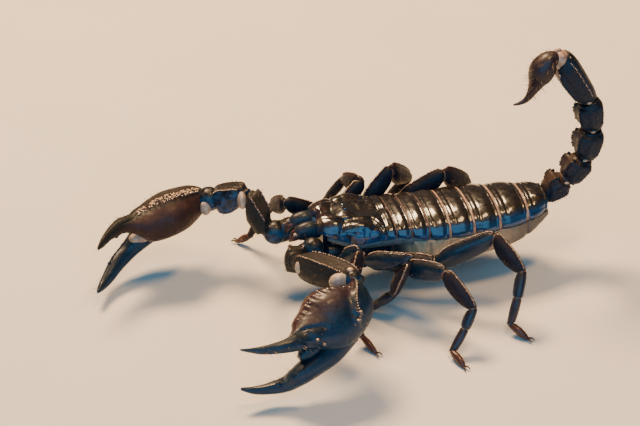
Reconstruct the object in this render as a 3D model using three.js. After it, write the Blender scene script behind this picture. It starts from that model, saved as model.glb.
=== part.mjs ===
// A large black forest scorpion, life size, standing with its tail raised and both claws held out.
// Millimetres. X is the animal's left, Y runs from the head (-Y) to the tail, Z is up and the floor is 0.
import * as THREE from "three";
import { mergeVertices } from "three/addons/utils/BufferGeometryUtils.js";

// Driving dimensions
const GAP = 0.3;
const BACK_PLATES = 7;
const CARAPACE_LENGTH = 16.5;
const PLATES_END = 52.2;
const PLATE_LENGTHS = [3.4, 3.9, 4.5, 5.4, 6.0, 6.6, 5.6];
const EYE_RADIUS = 0.55;
const FOOT_HEIGHT = 0.45;
const TUCK = 0.05; // the least distance between two rings of a limb
const NOTCH_DEPTH = 1.0;
const NOTCH_WIDTH = 2.4;
const BELLY_THICKNESS = 0.8;

// The body's outline along Y: [y, half width, height of the shell's edge, height of its top, belly]
const BODY_OUTLINE = [
  [0.0, 4.7, 16.9, 18.7, 12.4],
  [1.6, 5.9, 16.7, 19.2, 9.8],
  [5.0, 7.0, 15.5, 19.0, 8.6],
  [9.0, 7.8, 14.4, 18.6, 8.0],
  [13.0, 8.2, 14.0, 18.1, 7.6],
  [17.0, 8.1, 13.8, 17.8, 7.3],
  [24.0, 8.4, 13.4, 17.8, 6.7],
  [31.0, 8.6, 13.3, 17.7, 6.4],
  [38.0, 8.3, 13.3, 17.6, 6.6],
  [44.0, 7.4, 13.4, 17.5, 7.4],
  [48.5, 6.1, 13.7, 17.3, 9.2],
  [52.2, 4.2, 14.2, 17.0, 11.8],
];

// Joints of the right and left limbs in this pose: hip, end of the coxa, knee, then the foot's joints
const LEGS = {
  left_1: [[7.6, 4.6, 11.0], [10.0, 4.4, 13.0], [15.0, 6.0, 17.0], [20.0, 3.0, 11.0],
    [21.9, 2.3, 6.0], [23.6, 4.6, 2.2], [27.8, 6.4, FOOT_HEIGHT]],
  left_2: [[7.7, 8.0, 10.8], [10.2, 9.4, 12.0], [16.1, 16.2, 14.0], [16.2, 13.4, 6.6],
    [14.6, 10.8, 3.8], [12.8, 9.6, 1.6], [10.2, 8.4, FOOT_HEIGHT]],
  left_3: [[7.7, 11.5, 10.8], [12.9, 17.2, 10.4], [22.3, 22.8, 14.0], [29.2, 26.7, 9.0],
    [30.9, 24.6, 5.5], [33.0, 21.4, 1.8], [37.2, 22.6, FOOT_HEIGHT]],
  left_4: [[7.9, 15.4, 9.8], [12.8, 23.8, 10.6], [16.4, 35.5, 17.0], [23.1, 39.5, 12.0],
    [26.4, 37.6, 8.0], [27.8, 35.9, 2.6], [31.2, 38.6, FOOT_HEIGHT]],
  right_1: [[-7.6, 4.6, 11.0], [-8.9, 3.6, 13.2], [-9.6, -3.4, 16.4], [-16.0, -5.0, 12.0],
    [-18.2, -7.4, 7.6], [-19.4, -9.2, 3.0], [-21.7, -11.6, FOOT_HEIGHT]],
  right_2: [[-7.7, 8.0, 10.8], [-9.4, 8.6, 12.6], [-12.0, 14.0, 17.2], [-18.6, 12.2, 14.6],
    [-20.0, 9.0, 9.6], [-21.0, 6.4, 4.6], [-23.2, 4.0, FOOT_HEIGHT]],
  right_3: [[-7.7, 11.5, 10.8], [-10.4, 14.6, 12.4], [-12.0, 21.0, 19.2], [-16.8, 26.6, 13.8],
    [-18.2, 23.0, 9.0], [-19.6, 21.0, 3.6], [-22.6, 20.0, FOOT_HEIGHT]],
  right_4: [[-7.9, 15.4, 9.8], [-11.0, 22.4, 11.4], [-9.6, 32.4, 17.9], [-13.0, 39.2, 12.8],
    [-16.0, 38.0, 8.0], [-18.4, 36.6, 3.0], [-21.4, 38.6, FOOT_HEIGHT]],
};

// The claw arms: their joints, then the claw's own directions (along it and out of its upper face)
const ARMS = {
  left: { joints: [[5.2, 1.0, 12.0], [6.4, -5.2, 13.2], [14.8, -7.4, 17.6], [27.7, 1.8, 19.0]],
    along: [0.64, -0.67, -0.36], face: [0.59, 0.14, 0.79] },
  right: { joints: [[-5.2, 1.0, 12.0], [-5.2, -8.2, 13.0], [-11.5, -11.2, 18.3], [-17.0, -18.6, 15.3]],
    along: [0.09, -0.98, -0.16], face: [-0.24, -0.18, 0.95] },
};

// The tail's joints in the middle plane, [y, z], and each length's half width
const TAIL_JOINTS = [[52.2, 16.0], [57.4, 18.6], [61.3, 23.7], [62.7, 30.7], [61.4, 38.0], [54.6, 48.8]];
const TAIL_GIRTHS = [2.9, 2.9, 3.0, 2.9, 2.8];
const TELSON_JOINTS = [[54.6, 48.8], [52.4, 49.0], [50.6, 47.2], [49.2, 43.6], [48.0, 41.0], [46.8, 39.5], [44.4, 39.1]];

// Colours of the shell
const BLACK_SHELL = { color: 0x0b0e14, roughness: 0.22, metalness: 0.0 };
const BROWN_SHELL = { color: 0x2a1310, roughness: 0.28, metalness: 0.0 };
const FOOT_SHELL = { color: 0x4a1d12, roughness: 0.35, metalness: 0.0 };
const SOFT_SKIN = { color: 0x8f7d68, roughness: 0.5, metalness: 0.0 };
const EYE = { color: 0x030303, roughness: 0.08, metalness: 0.0 };

const scorpion = new THREE.Group();

function add(name, geometry, finish) {
  const mesh = new THREE.Mesh(geometry, new THREE.MeshStandardMaterial(finish));
  mesh.name = name;
  scorpion.add(mesh);
}

// Pulls a capped cylinder over a row of rings, so that ring 0 is its top and the last its bottom
function skin(rings) {
  const sides = rings[0].length;
  const steps = rings.length - 1;
  const shape = new THREE.CylinderGeometry(1, 1, 1, sides, steps);
  shape.deleteAttribute("normal");
  shape.deleteAttribute("uv");
  const place = shape.attributes.position;
  for (let i = 0; i < place.count; i += 1) {
    const ring = rings[Math.round((0.5 - place.getY(i)) * steps)];
    const turn = Math.atan2(place.getX(i), place.getZ(i)) / (2 * Math.PI);
    const onAxis = Math.hypot(place.getX(i), place.getZ(i)) < 0.5;
    const point = onAxis ? middle(ring) : ring[(Math.round(turn * sides) + sides) % sides];
    place.setXYZ(i, point.x, point.y, point.z);
  }
  return mergeVertices(shape, 1e-5);
}

function middle(points) {
  const sum = new THREE.Vector3();
  points.forEach((point) => sum.add(point));
  return sum.divideScalar(points.length);
}

function vector(list) {
  return new THREE.Vector3(...list);
}

// How far to slide a point along a direction until it lies `clear` beyond a plane
function slideTo(point, along, onPlane, normal, clear) {
  const height = point.clone().sub(onPlane).dot(normal);
  return (clear - height) / along.dot(normal);
}

// A jointed tube. Each length between two joints has its own girths, [fraction, half width, half depth].
// It turns in the plane that halves each bend, and its open ends stop half a gap short of theirs.
function limb({ joints, girths, up, start, finish, sides = 8, floor = false }) {
  const points = joints.map(vector);
  const ways = girths.map((_, i) => points[i + 1].clone().sub(points[i]).normalize());
  const normals = points.map((_, i) => {
    if (i === 0) return start ? vector(start).normalize() : ways[0];
    if (i === ways.length) return finish ? vector(finish).normalize() : ways[i - 1];
    return ways[i - 1].clone().add(ways[i]).normalize();
  });
  const rings = [];
  girths.forEach((stations, i) => {
    const along = ways[i];
    const side = vector(up).cross(along).normalize();
    const rise = along.clone().cross(side);
    const nearClear = i === 0 ? GAP / 2 : 0;
    const farClear = i === ways.length - 1 ? -GAP / 2 : 0;
    stations.forEach(([fraction, halfWidth, halfDepth], j) => {
      if (i > 0 && j === 0) return;
      const last = stations.length - 1;
      const ring = [];
      for (let k = 0; k < sides; k += 1) {
        const angle = (2 * Math.PI * k) / sides;
        const point = points[i].clone().lerp(points[i + 1], fraction)
          .addScaledVector(side, halfWidth * Math.sin(angle))
          .addScaledVector(rise, halfDepth * Math.cos(angle));
        const least = slideTo(point, along, points[i], normals[i], nearClear + TUCK * j);
        const most = slideTo(point, along, points[i + 1], normals[i + 1], farClear - TUCK * (last - j));
        const slide = j === 0 ? least : j === last ? most : Math.min(Math.max(0, least), most);
        point.addScaledVector(along, slide);
        if (floor) point.z = Math.max(0, point.z);
        ring.push(point);
      }
      rings.push(ring);
    });
  });
  return skin(rings);
}

// The direction that halves the bend at joint `at` of a chain
function bend(joints, at) {
  const before = vector(joints[at]).sub(vector(joints[at - 1])).normalize();
  const after = vector(joints[at + 1]).sub(vector(joints[at])).normalize();
  return before.add(after).toArray();
}

// The body's outline at y, by straight lines between the stations above
function outline(y) {
  const next = BODY_OUTLINE.findIndex((row) => row[0] >= y);
  const at = next < 0 ? BODY_OUTLINE.length - 1 : Math.max(next, 1);
  const after = BODY_OUTLINE[at];
  const before = BODY_OUTLINE[at - 1];
  const share = (y - before[0]) / (after[0] - before[0]);
  return after.map((value, i) => THREE.MathUtils.lerp(before[i], value, share));
}

// One ring of the upper shell: a low arch over a flat underside
function arch(y, scale = 1, notch = 0) {
  const [, half, edge, top] = outline(y);
  const sides = 20;
  return Array.from({ length: sides }, (_, k) => {
    const angle = (2 * Math.PI * k) / sides;
    const across = -half * scale * Math.sin(angle);
    const rise = Math.max(0, Math.cos(angle)) ** 0.8 * (top - edge) * scale;
    const back = notch * Math.cos((Math.PI / 2) * Math.min(1, Math.abs(across) / NOTCH_WIDTH)) ** 2;
    return new THREE.Vector3(across, y + back, edge + GAP / 2 + rise);
  });
}

// One ring of the soft body below the shell, flat on top and flat along the belly
function keel(y, { widen = 1, lift = 0 }) {
  const [, half, edge, , belly] = outline(y);
  const sides = 16;
  return Array.from({ length: sides }, (_, k) => {
    const angle = (2 * Math.PI * k) / sides;
    const down = Math.max(0, -Math.cos(angle));
    const across = -half * widen * Math.sin(angle) * (1 + 0.32 * Math.sin(Math.PI * down) * down);
    const depth = Math.min(1, down * 1.35) * (edge - belly - lift);
    return new THREE.Vector3(across, y, edge - GAP / 2 - depth);
  });
}

// Carapace, with a notch in its front edge and the pair of eyes on a low hill
function carapace() {
  const stops = [0, 1.6, 5, 9, 13, CARAPACE_LENGTH];
  const rings = stops.map((y, i) => arch(y, i === 0 ? 0.96 : 1, i === 0 ? NOTCH_DEPTH : 0));
  add("carapace", skin(rings), BLACK_SHELL);
  for (const [name, side] of [["left", 1], ["right", -1]]) {
    const eye = new THREE.SphereGeometry(EYE_RADIUS, 10, 6, 0, 2 * Math.PI, 0, Math.PI);
    const [, , , top] = outline(7);
    eye.translate(side * 0.75, 7, top + GAP + EYE_RADIUS);
    eye.deleteAttribute("normal");
    eye.deleteAttribute("uv");
    add(`eye_${name}`, mergeVertices(eye, 1e-5), EYE);
  }
}

// Seven back plates, each a little wider at its rear edge than the next one's front
function backPlates() {
  let y = CARAPACE_LENGTH + GAP;
  for (let i = 0; i < BACK_PLATES; i += 1) {
    const length = PLATE_LENGTHS[i] * ((PLATES_END - CARAPACE_LENGTH) / 35.4);
    const end = y + length - GAP;
    const rings = [arch(y, 0.965), arch(y + length * 0.25, 0.995), arch(end - 0.6, 1), arch(end, 0.985)];
    add(`back_plate_${i + 1}`, skin(rings), BLACK_SHELL);
    y += length;
  }
}

// The soft body below the plates, the hard underside of the head end, and the belly plates
function underside() {
  const chest = [1.2, 3.2, 6, 9, 13, 16.9].map((y) => keel(y, { widen: 0.84 }));
  add("leg_bases", skin(chest), BLACK_SHELL);
  const soft = [17.2, 20, 24, 31, 38, 44, 48.5, 51.9];
  add("soft_body", skin(soft.map((y) => keel(y, { widen: y < 22 ? 0.9 : 0.97, lift: 1.1 }))), SOFT_SKIN);
  const stops = [18, 24, 31, 38, 44, 48.5, 51];
  const belly = stops.map((y, i) => {
    const [, half, , , low] = outline(y);
    const width = half * (i === 0 ? 0.5 : 0.66);
    return Array.from({ length: 12 }, (_, k) => {
      const angle = (2 * Math.PI * k) / 12;
      const down = BELLY_THICKNESS * Math.max(0, -Math.cos(angle)) ** 0.6;
      return new THREE.Vector3(-width * Math.sin(angle), y, low + BELLY_THICKNESS - down);
    });
  });
  add("belly_plates", skin(belly), BROWN_SHELL);
}

function chelicerae() {
  for (const [name, side] of [["left", 1], ["right", -1]]) {
    const joints = [[side * 2.05, -0.1, 16.4], [side * 2.2, -3.0, 16.2], [side * 1.9, -5.2, 14.6]];
    const girths = [[[0, 1.5, 1.6], [0.35, 1.85, 2.0], [1, 1.75, 1.8]], [[0, 1.7, 1.7], [0.6, 1.2, 1.1], [1, 0.5, 0.4]]];
    add(`chelicera_${name}`, limb({ joints, girths, up: [0, 0, 1], start: [0, -1, 0] }), BROWN_SHELL);
  }
}

function combs() {
  for (const [name, side] of [["left", 1], ["right", -1]]) {
    const joints = [[side * 1.2, 17.6, 6.4], [side * 6.2, 22.4, 6.2]];
    const girths = [[[0, 1.0, 0.35], [0.5, 1.2, 0.4], [1, 0.5, 0.3]]];
    add(`comb_${name}`, limb({ joints, girths, up: [0, 0, 1] }), BROWN_SHELL);
  }
}

function legs() {
  for (const [name, joints] of Object.entries(LEGS)) {
    const number = Number(name.slice(-1));
    const outward = name.startsWith("left") ? 1 : -1;
    const size = 0.93 + 0.055 * number;
    const scaled = (rows) => rows.map(([at, wide, deep]) => [at, wide * size, deep * size]);
    const hipGirth = scaled([[0, 1.1, 1.2], [0.5, 1.35, 1.5], [1, 1.3, 1.5]]);
    const thighGirth = scaled([[0, 1.3, 1.5], [0.25, 1.45, 1.95], [0.7, 1.4, 1.9], [0.92, 1.3, 1.6], [1, 1.1, 1.3]]);
    add(`thigh_${name}`, limb({ joints: joints.slice(0, 3), girths: [hipGirth, thighGirth], up: [0, 0, 1],
      start: [outward, 0, 0], finish: bend(joints, 2) }), BLACK_SHELL);
    const kneeGirth = scaled([[0, 1.1, 1.3], [0.15, 1.35, 1.8], [0.6, 1.35, 1.8], [0.9, 1.15, 1.3], [1, 0.9, 1.0]]);
    add(`patella_${name}`, limb({ joints: joints.slice(2, 4), girths: [kneeGirth], up: [0, 0, 1],
      start: bend(joints, 2), finish: bend(joints, 3) }), BLACK_SHELL);
    const shin = scaled([[0, 0.85, 1.0], [0.3, 1.0, 1.15], [0.85, 0.95, 1.05], [1, 0.75, 0.8]]);
    const heel = scaled([[0, 0.75, 0.8], [0.5, 0.8, 0.85], [1, 0.7, 0.72]]);
    const foot = scaled([[0, 0.7, 0.72], [0.5, 0.72, 0.85], [0.88, 0.6, 0.62], [1, 0.4, 0.4]]);
    add(`shank_${name}`, limb({ joints: joints.slice(3), girths: [shin, heel, foot], up: [outward, 0.2, 0.3],
      start: bend(joints, 3), floor: true }), FOOT_SHELL);
  }
}

// The hand and its fixed finger: [along, centre towards the body, centre up, half width, half depth]
const HAND = [
  [0.4, 0.1, 0.5, 1.9, 2.1], [1.3, -1.2, 0.6, 2.3, 2.7], [3.2, -1.8, 0.3, 4.1, 3.7],
  [6.2, -0.6, 0.3, 6.1, 4.4], [9.5, 0.2, 0.3, 6.8, 4.7], [12.8, 0.5, 0.0, 6.1, 4.5],
  [15.6, 1.6, 0.2, 4.9, 3.8], [17.8, 2.7, 1.3, 3.0, 2.3], [20.5, 3.9, 2.5, 1.8, 1.5],
  [23.5, 6.3, 2.6, 1.5, 1.2], [26.2, 9.3, 2.2, 1.1, 0.9], [28.0, 12.1, 2.1, 0.4, 0.4],
];
const PALM_RINGS = 8;

// The moving finger's path in the same directions, its girths, and the way out of its hinge
const MOVING_FINGER = [[14.5, -3.2, -3.2], [19.4, -2.0, -5.3], [23.4, 0.1, -6.9], [26.5, 2.6, -8.4], [30.0, 7.5, -8.9]];
const FINGER_GIRTHS = [
  [[0, 3.4, 3.0], [0.5, 2.8, 2.4], [1, 2.1, 1.9]], [[0, 2.1, 1.9], [1, 1.6, 1.7]],
  [[0, 1.6, 1.7], [1, 1.2, 1.4]], [[0, 1.2, 1.4], [0.6, 0.8, 0.9], [1, 0.35, 0.35]],
];
const FINGER_PLANE = [0.8, -0.35, -0.48];

function arms() {
  for (const [name, { joints, along, face }] of Object.entries(ARMS)) {
    const side = name === "left" ? 1 : -1;
    const ahead = vector(along).normalize();
    const up = vector(face).addScaledVector(ahead, -vector(face).dot(ahead)).normalize();
    const inward = ahead.clone().cross(up).multiplyScalar(side);
    const wrist = vector(joints[3]);
    const inHand = ([a, m, d]) => wrist.clone().addScaledVector(ahead, a)
      .addScaledVector(inward, m).addScaledVector(up, d);
    const chain = [...joints, inHand([6, 0, 0]).toArray()];
    const lengths = [
      ["arm_base", [[0, 1.8, 1.8], [0.45, 2.3, 2.3], [0.75, 2.7, 2.7], [1, 2.1, 2.2]]],
      ["arm_upper", [[0, 1.7, 1.8], [0.2, 2.2, 2.5], [0.75, 2.5, 2.8], [0.92, 2.2, 2.4], [1, 1.6, 1.7]]],
      ["arm_fore", [[0, 1.6, 1.7], [0.15, 2.5, 2.6], [0.45, 3.0, 3.0], [0.8, 2.7, 2.7], [1, 1.7, 1.7]]],
    ];
    lengths.forEach(([part, girths], i) => {
      const start = i === 0 ? [0, -1, 0] : bend(chain, i);
      add(`${part}_${name}`, limb({ joints: chain.slice(i, i + 2), girths: [girths], up: [0, 0, 1],
        start, finish: bend(chain, i + 1), sides: 10 }), BLACK_SHELL);
    });
    const sides = 12;
    const root = inHand(MOVING_FINGER[0]);
    const [pressAlong, pressIn, pressUp] = FINGER_PLANE;
    const press = ahead.clone().multiplyScalar(pressAlong).addScaledVector(inward, pressIn)
      .addScaledVector(up, pressUp).normalize();
    const wristPlane = vector(bend(chain, 3)).normalize();
    const rings = HAND.map(([a, m, d, wide, deep], j) => Array.from({ length: sides }, (_, k) => {
      const angle = ((2 * Math.PI * k) / sides) * side;
      const point = inHand([a, m - wide * Math.sin(angle), d + deep * Math.cos(angle)]);
      const least = slideTo(point, ahead, wrist, wristPlane, GAP / 2 + TUCK * j);
      const most = slideTo(point, ahead, root, press, -GAP / 2 - TUCK * (HAND.length - j));
      if (j === 0) return point.addScaledVector(ahead, least);
      return j < PALM_RINGS ? point.addScaledVector(ahead, Math.min(Math.max(0, least), most)) : point;
    }));
    add(`hand_${name}`, skin(rings), BROWN_SHELL);
    const finger = MOVING_FINGER.map((place) => inHand(place).toArray());
    add(`moving_finger_${name}`, limb({ joints: finger, girths: FINGER_GIRTHS, up: up.toArray(),
      start: press.toArray(), sides: 10 }), BLACK_SHELL);
  }
}

function tail() {
  const telson = TELSON_JOINTS.map(([y, z]) => [0, y, z]);
  const whole = [...TAIL_JOINTS.map(([y, z]) => [0, y, z]), telson[1]];
  TAIL_GIRTHS.forEach((girth, i) => {
    const rows = [[0, 0.68, 0.66], [0.12, 0.84, 0.82], [0.35, 1, 0.98], [0.7, 1, 1], [0.9, 0.9, 0.86], [1, 0.66, 0.62]];
    const girths = [rows.map(([at, wide, deep]) => [at, wide * girth, deep * girth])];
    add(`tail_${i + 1}`, limb({ joints: whole.slice(i, i + 2), girths, up: [0, -1, 0.1],
      start: i === 0 ? [0, 1, 0] : bend(whole, i), finish: bend(whole, i + 1), sides: 12 }), BLACK_SHELL);
  });
  const bulb = [[[0, 1.2, 1.2], [1, 1.8, 1.5]], [[0, 1.8, 1.5], [0.5, 2.6, 2.4], [1, 2.8, 2.8]],
    [[0, 2.8, 2.8], [0.4, 2.6, 2.5], [1, 1.5, 1.5]], [[0, 1.5, 1.5], [1, 0.8, 0.85]],
    [[0, 0.8, 0.85], [1, 0.5, 0.55]], [[0, 0.5, 0.55], [1, 0.25, 0.25]]];
  add("telson", limb({ joints: telson, girths: bulb, up: [0, -1, 0.3], start: bend(whole, 5), sides: 10 }), BROWN_SHELL);
}

carapace();
backPlates();
underside();
chelicerae();
combs();
arms();
legs();
tail();

// The origin is under the middle of the animal's box
const box = new THREE.Box3().setFromObject(scorpion);
scorpion.position.set(-(box.min.x + box.max.x) / 2, -(box.min.y + box.max.y) / 2, -box.min.z);

export default scorpion;
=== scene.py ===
# %% [markdown]
# # A black forest scorpion
# A large forest scorpion stands with its tail raised and both claws held out. Its body is a set of
# hard, glossy shell pieces joined by soft skin, so the model is made the same way: one closed mesh
# for each shell piece, and soft skin in the gaps.
#
# The solid model that is loaded here gives every place and size. Each piece below takes over from
# one of its solids and adds what a solid leaves out: keels, beads, furrows, teeth, hairs and finish.

# %% Load the frame
import math
import random
from functools import lru_cache, partial

import bmesh
import bpy
from mathutils import Matrix, Vector, noise


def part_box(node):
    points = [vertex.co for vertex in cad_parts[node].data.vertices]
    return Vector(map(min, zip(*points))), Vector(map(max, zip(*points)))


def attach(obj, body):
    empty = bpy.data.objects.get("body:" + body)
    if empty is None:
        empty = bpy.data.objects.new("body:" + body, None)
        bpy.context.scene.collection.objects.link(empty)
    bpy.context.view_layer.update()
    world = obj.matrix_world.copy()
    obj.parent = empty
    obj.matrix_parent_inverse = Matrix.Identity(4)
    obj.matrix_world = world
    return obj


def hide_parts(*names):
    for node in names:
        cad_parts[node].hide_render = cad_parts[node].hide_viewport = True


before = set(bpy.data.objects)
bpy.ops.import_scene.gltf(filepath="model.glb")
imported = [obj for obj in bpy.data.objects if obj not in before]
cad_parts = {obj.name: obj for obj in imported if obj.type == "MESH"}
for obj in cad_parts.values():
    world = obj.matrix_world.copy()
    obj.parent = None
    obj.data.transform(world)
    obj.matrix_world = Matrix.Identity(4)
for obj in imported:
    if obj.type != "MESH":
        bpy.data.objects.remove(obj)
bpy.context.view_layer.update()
print("solids:", len(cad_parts))

# %% [markdown]
# ## One measure for everything
# The numbers of this animal are easiest to read in millimetres from the middle of its front edge,
# with the head towards -Y. Blender works in metres, so one function turns the first into the second.
# The front edge is read from the solid head shield, so nothing here can drift from the frame.

# %% Millimetres from the front edge
MM = 0.001
shield_low, shield_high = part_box("carapace")
FRONT = Vector(((shield_low.x + shield_high.x) / 2, shield_low.y, 0.0))


def spot(x, y, z):
    """A place in metres, from millimetres measured from the front edge of the head shield."""
    return FRONT + Vector((x, y, z)) * MM


print("front edge at", [round(value, 4) for value in FRONT])

# %% [markdown]
# ## Camera
# The camera looks down on the animal's left flank from a little in front of it, through a long lens
# that flattens the depth. It stands on a ball round the front edge, and aims slightly past it, so
# that the whole animal sits in the frame without any lens shift.

# %% Camera
AZIMUTH = math.radians(75)
ELEVATION = math.radians(34)
CAMERA_DISTANCE = 0.520
LENS = 134.4
AIM_RIGHT, AIM_UP = 1.74, 16.3      # millimetres past the front edge
back = Vector((math.sin(AZIMUTH) * math.cos(ELEVATION),
               -math.cos(AZIMUTH) * math.cos(ELEVATION), math.sin(ELEVATION)))
right = Vector((math.cos(AZIMUTH), math.sin(AZIMUTH), 0.0))
camera_up = back.cross(right)
camera = bpy.data.objects.new("camera", bpy.data.cameras.new("camera"))
bpy.context.scene.collection.objects.link(camera)
camera.location = FRONT + back * CAMERA_DISTANCE
aim = FRONT + right * AIM_RIGHT * MM + camera_up * AIM_UP * MM
camera.rotation_mode = "QUATERNION"
camera.rotation_quaternion = (aim - camera.location).to_track_quat("-Z", "Y")
camera.data.lens = LENS
camera.data.sensor_width = 36.0
camera.data.clip_start = 0.01
bpy.context.scene.camera = camera
print("camera at", [round(value, 3) for value in camera.location])

# %% [markdown]
# ## Shell finish
# The shell is nearly black and looks lacquered. Faces that look up are a warm brown black and faces
# that look sideways a deep blue black, which is partly the shell's own blue and partly a painted
# reflection of blue light. The thin parts, such as the inside of the claws, turn red brown. The colour
# mixes those three: the surface's own upward slant chooses between the first two, and a value painted
# on each piece, called warmth, brings in the third. A plain black with strong lights would be simpler,
# but then the sides of the animal would go flat and lose their blue.
#
# Noise then breaks up the evenness, because real shell is never as even as plastic. One noise darkens
# the colour in patches, one varies the roughness, and two more, one broad and one very fine, are bumps.

# %% Node helpers
def new_material(name):
    """A new material, its node tree and its Principled shader."""
    material = bpy.data.materials.new(name)
    material.use_nodes = True
    tree = material.node_tree
    return material, tree, tree.nodes["Principled BSDF"]


def add_node(tree, kind, **inputs):
    """A node with some of its sockets set, named by their label with _ for a space."""
    node = tree.nodes.new(kind)
    for label, value in inputs.items():
        node.inputs[label.replace("_", " ")].default_value = value
    return node


def grain(tree, coords, size, detail=3.0):
    """Noise whose spots are about `size` millimetres across."""
    node = add_node(tree, "ShaderNodeTexNoise", Scale=1.0 / (size * MM), Detail=detail)
    tree.links.new(coords.outputs["Object"], node.inputs["Vector"])
    return node.outputs["Fac"]


def between(tree, share, low, high, start=0.0, end=1.0):
    """Turns a value from start..end into low..high."""
    node = add_node(tree, "ShaderNodeMapRange", From_Min=start, From_Max=end, To_Min=low, To_Max=high)
    tree.links.new(share, node.inputs["Value"])
    return node.outputs["Result"]


def mixed(tree, share, first, second):
    """A colour between two, each a socket or a list."""
    node = tree.nodes.new("ShaderNodeMix")
    node.data_type = "RGBA"
    tree.links.new(share, node.inputs["Factor"])
    for label, colour in (("A", first), ("B", second)):
        socket = next(s for s in node.inputs if s.name == label and s.type == "RGBA")
        if isinstance(colour, tuple):
            socket.default_value = (*colour, 1.0)
        else:
            tree.links.new(colour, socket)
    return next(s for s in node.outputs if s.type == "RGBA")


def bumpy(tree, shader, heights):
    """Stacks bumps, each a value socket with its depth in millimetres, on a shader."""
    normal = None
    for height, depth in heights:
        node = add_node(tree, "ShaderNodeBump", Strength=1.0, Distance=depth * MM)
        tree.links.new(height, node.inputs["Height"])
        if normal:
            tree.links.new(normal, node.inputs["Normal"])
        normal = node.outputs["Normal"]
    tree.links.new(normal, shader.inputs["Normal"])


print("node helpers ready")

# %% Shell finish
def shell_finish(name, top, flank, warm, gloss, coat=0.8, level=0.4, wave=0.07, patchy=0.3):
    """Shell: its colour facing up, facing sideways, where its blue is partly a painted reflection, and where
    it is thin, how rough and how lacquered.

    `level` is how much it mirrors at its face, `wave` the depth in millimetres of its broad bumps, and
    `patchy` how much of its colour turns black in patches.
    """
    material, tree, shader = new_material(name)
    coords = tree.nodes.new("ShaderNodeTexCoord")
    slant = tree.nodes.new("ShaderNodeSeparateXYZ")
    tree.links.new(tree.nodes.new("ShaderNodeNewGeometry").outputs["Normal"], slant.inputs["Vector"])
    # Sideways faces take the flank colour, whose blue is partly the shell's own and partly a painted
    # reflection of blue light.
    upward = between(tree, slant.outputs["Z"], 0.0, 1.0, 0.35, 0.85)
    colour = mixed(tree, upward, flank, top)
    painted = tree.nodes.new("ShaderNodeAttribute")
    painted.attribute_name = "warmth"
    colour = mixed(tree, painted.outputs["Fac"], colour, warm)
    cloud = grain(tree, coords, 1.6)
    dark = mixed(tree, between(tree, cloud, 0.0, patchy, 0.40, 0.64), colour, (0.002, 0.002, 0.003))
    tree.links.new(dark, shader.inputs["Base Color"])
    tree.links.new(between(tree, grain(tree, coords, 0.7), gloss * 0.75, gloss * 1.5, 0.3, 0.7),
                   shader.inputs["Roughness"])
    bumpy(tree, shader, [(grain(tree, coords, 1.1, 1.5), wave), (grain(tree, coords, 0.22), 0.006)])
    shader.inputs["Specular IOR Level"].default_value = level
    shader.inputs["Coat Weight"].default_value = coat
    shader.inputs["Coat Roughness"].default_value = 0.12
    shader.inputs["Coat IOR"].default_value = 1.55
    return material


print("shell finish ready")

# %% [markdown]
# One shell would make the animal look cast in one piece, so each part of it has its own finish. The
# back and the shield are lacquered, and the shield and one arm are the patchiest. The limbs, the tail
# and the claws are duller, the feet and jaw fingers red brown. The beads on the hands, arms and knees
# are gold or light brown, which draws thin bright lines along them. Their gold, a bright top over a
# dark side, is a painted highlight for the glint of the light on the keels.

# %% Shell materials
# In each of these flank colours the blue is partly the shell's own and partly a painted reflection of blue
# light.
black_shell = shell_finish("black_shell", (0.012, 0.008, 0.005), (0.003, 0.050, 0.125),
                           (0.045, 0.013, 0.009), 0.30, coat=0.8, level=0.22, wave=0.09, patchy=0.5)
shield_shell = shell_finish("shield_shell", (0.012, 0.008, 0.005), (0.003, 0.060, 0.150),
                            (0.045, 0.013, 0.009), 0.28, coat=0.8, level=0.22, wave=0.11, patchy=0.85)
blue_shell = shell_finish("blue_shell", (0.010, 0.008, 0.007), (0.003, 0.045, 0.105),
                          (0.045, 0.013, 0.009), 0.40, coat=0.15, level=0.22, wave=0.28, patchy=0.9)
sting_shell = shell_finish("sting_shell", (0.024, 0.010, 0.010), (0.014, 0.008, 0.014),
                           (0.060, 0.018, 0.010), 0.42, coat=0.1, level=0.3)
limb_shell = shell_finish("limb_shell", (0.006, 0.007, 0.010), (0.003, 0.018, 0.036),
                          (0.045, 0.019, 0.018), 0.34, coat=0.18, level=0.24)
knee_shell = shell_finish("knee_shell", (0.011, 0.008, 0.009), (0.007, 0.011, 0.020),
                          (0.040, 0.017, 0.015), 0.42, coat=0.0, level=0.13, wave=0.14)
tail_shell = shell_finish("tail_shell", (0.008, 0.006, 0.005), (0.003, 0.012, 0.026),
                          (0.060, 0.028, 0.016), 0.46, coat=0.06, level=0.16, wave=0.14)
claw_shell = shell_finish("claw_shell", (0.004, 0.010, 0.017), (0.003, 0.026, 0.052),
                          (0.042, 0.017, 0.017), 0.40, coat=0.08, level=0.24)
dull_shell = shell_finish("dull_shell", (0.011, 0.009, 0.008), (0.012, 0.016, 0.015),
                          (0.038, 0.016, 0.013), 0.50, coat=0.0, level=0.20)
red_shell = shell_finish("red_shell", (0.050, 0.016, 0.011), (0.028, 0.010, 0.012),
                         (0.10, 0.026, 0.014), 0.40, coat=0.2, level=0.3)
# The bright gold top of these beads is a painted highlight, the glint of the light along the keels.
painted_glint_shell = shell_finish("painted_glint_shell", (0.55, 0.33, 0.17), (0.05, 0.035, 0.04),
                          (0.30, 0.15, 0.12), 0.25, wave=0.01)
bead_shell = shell_finish("bead_shell", (0.16, 0.085, 0.06), (0.07, 0.05, 0.06),
                          (0.30, 0.15, 0.12), 0.2, wave=0.01)
print("shells:", sum(material.name.endswith("_shell") for material in bpy.data.materials))
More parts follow.
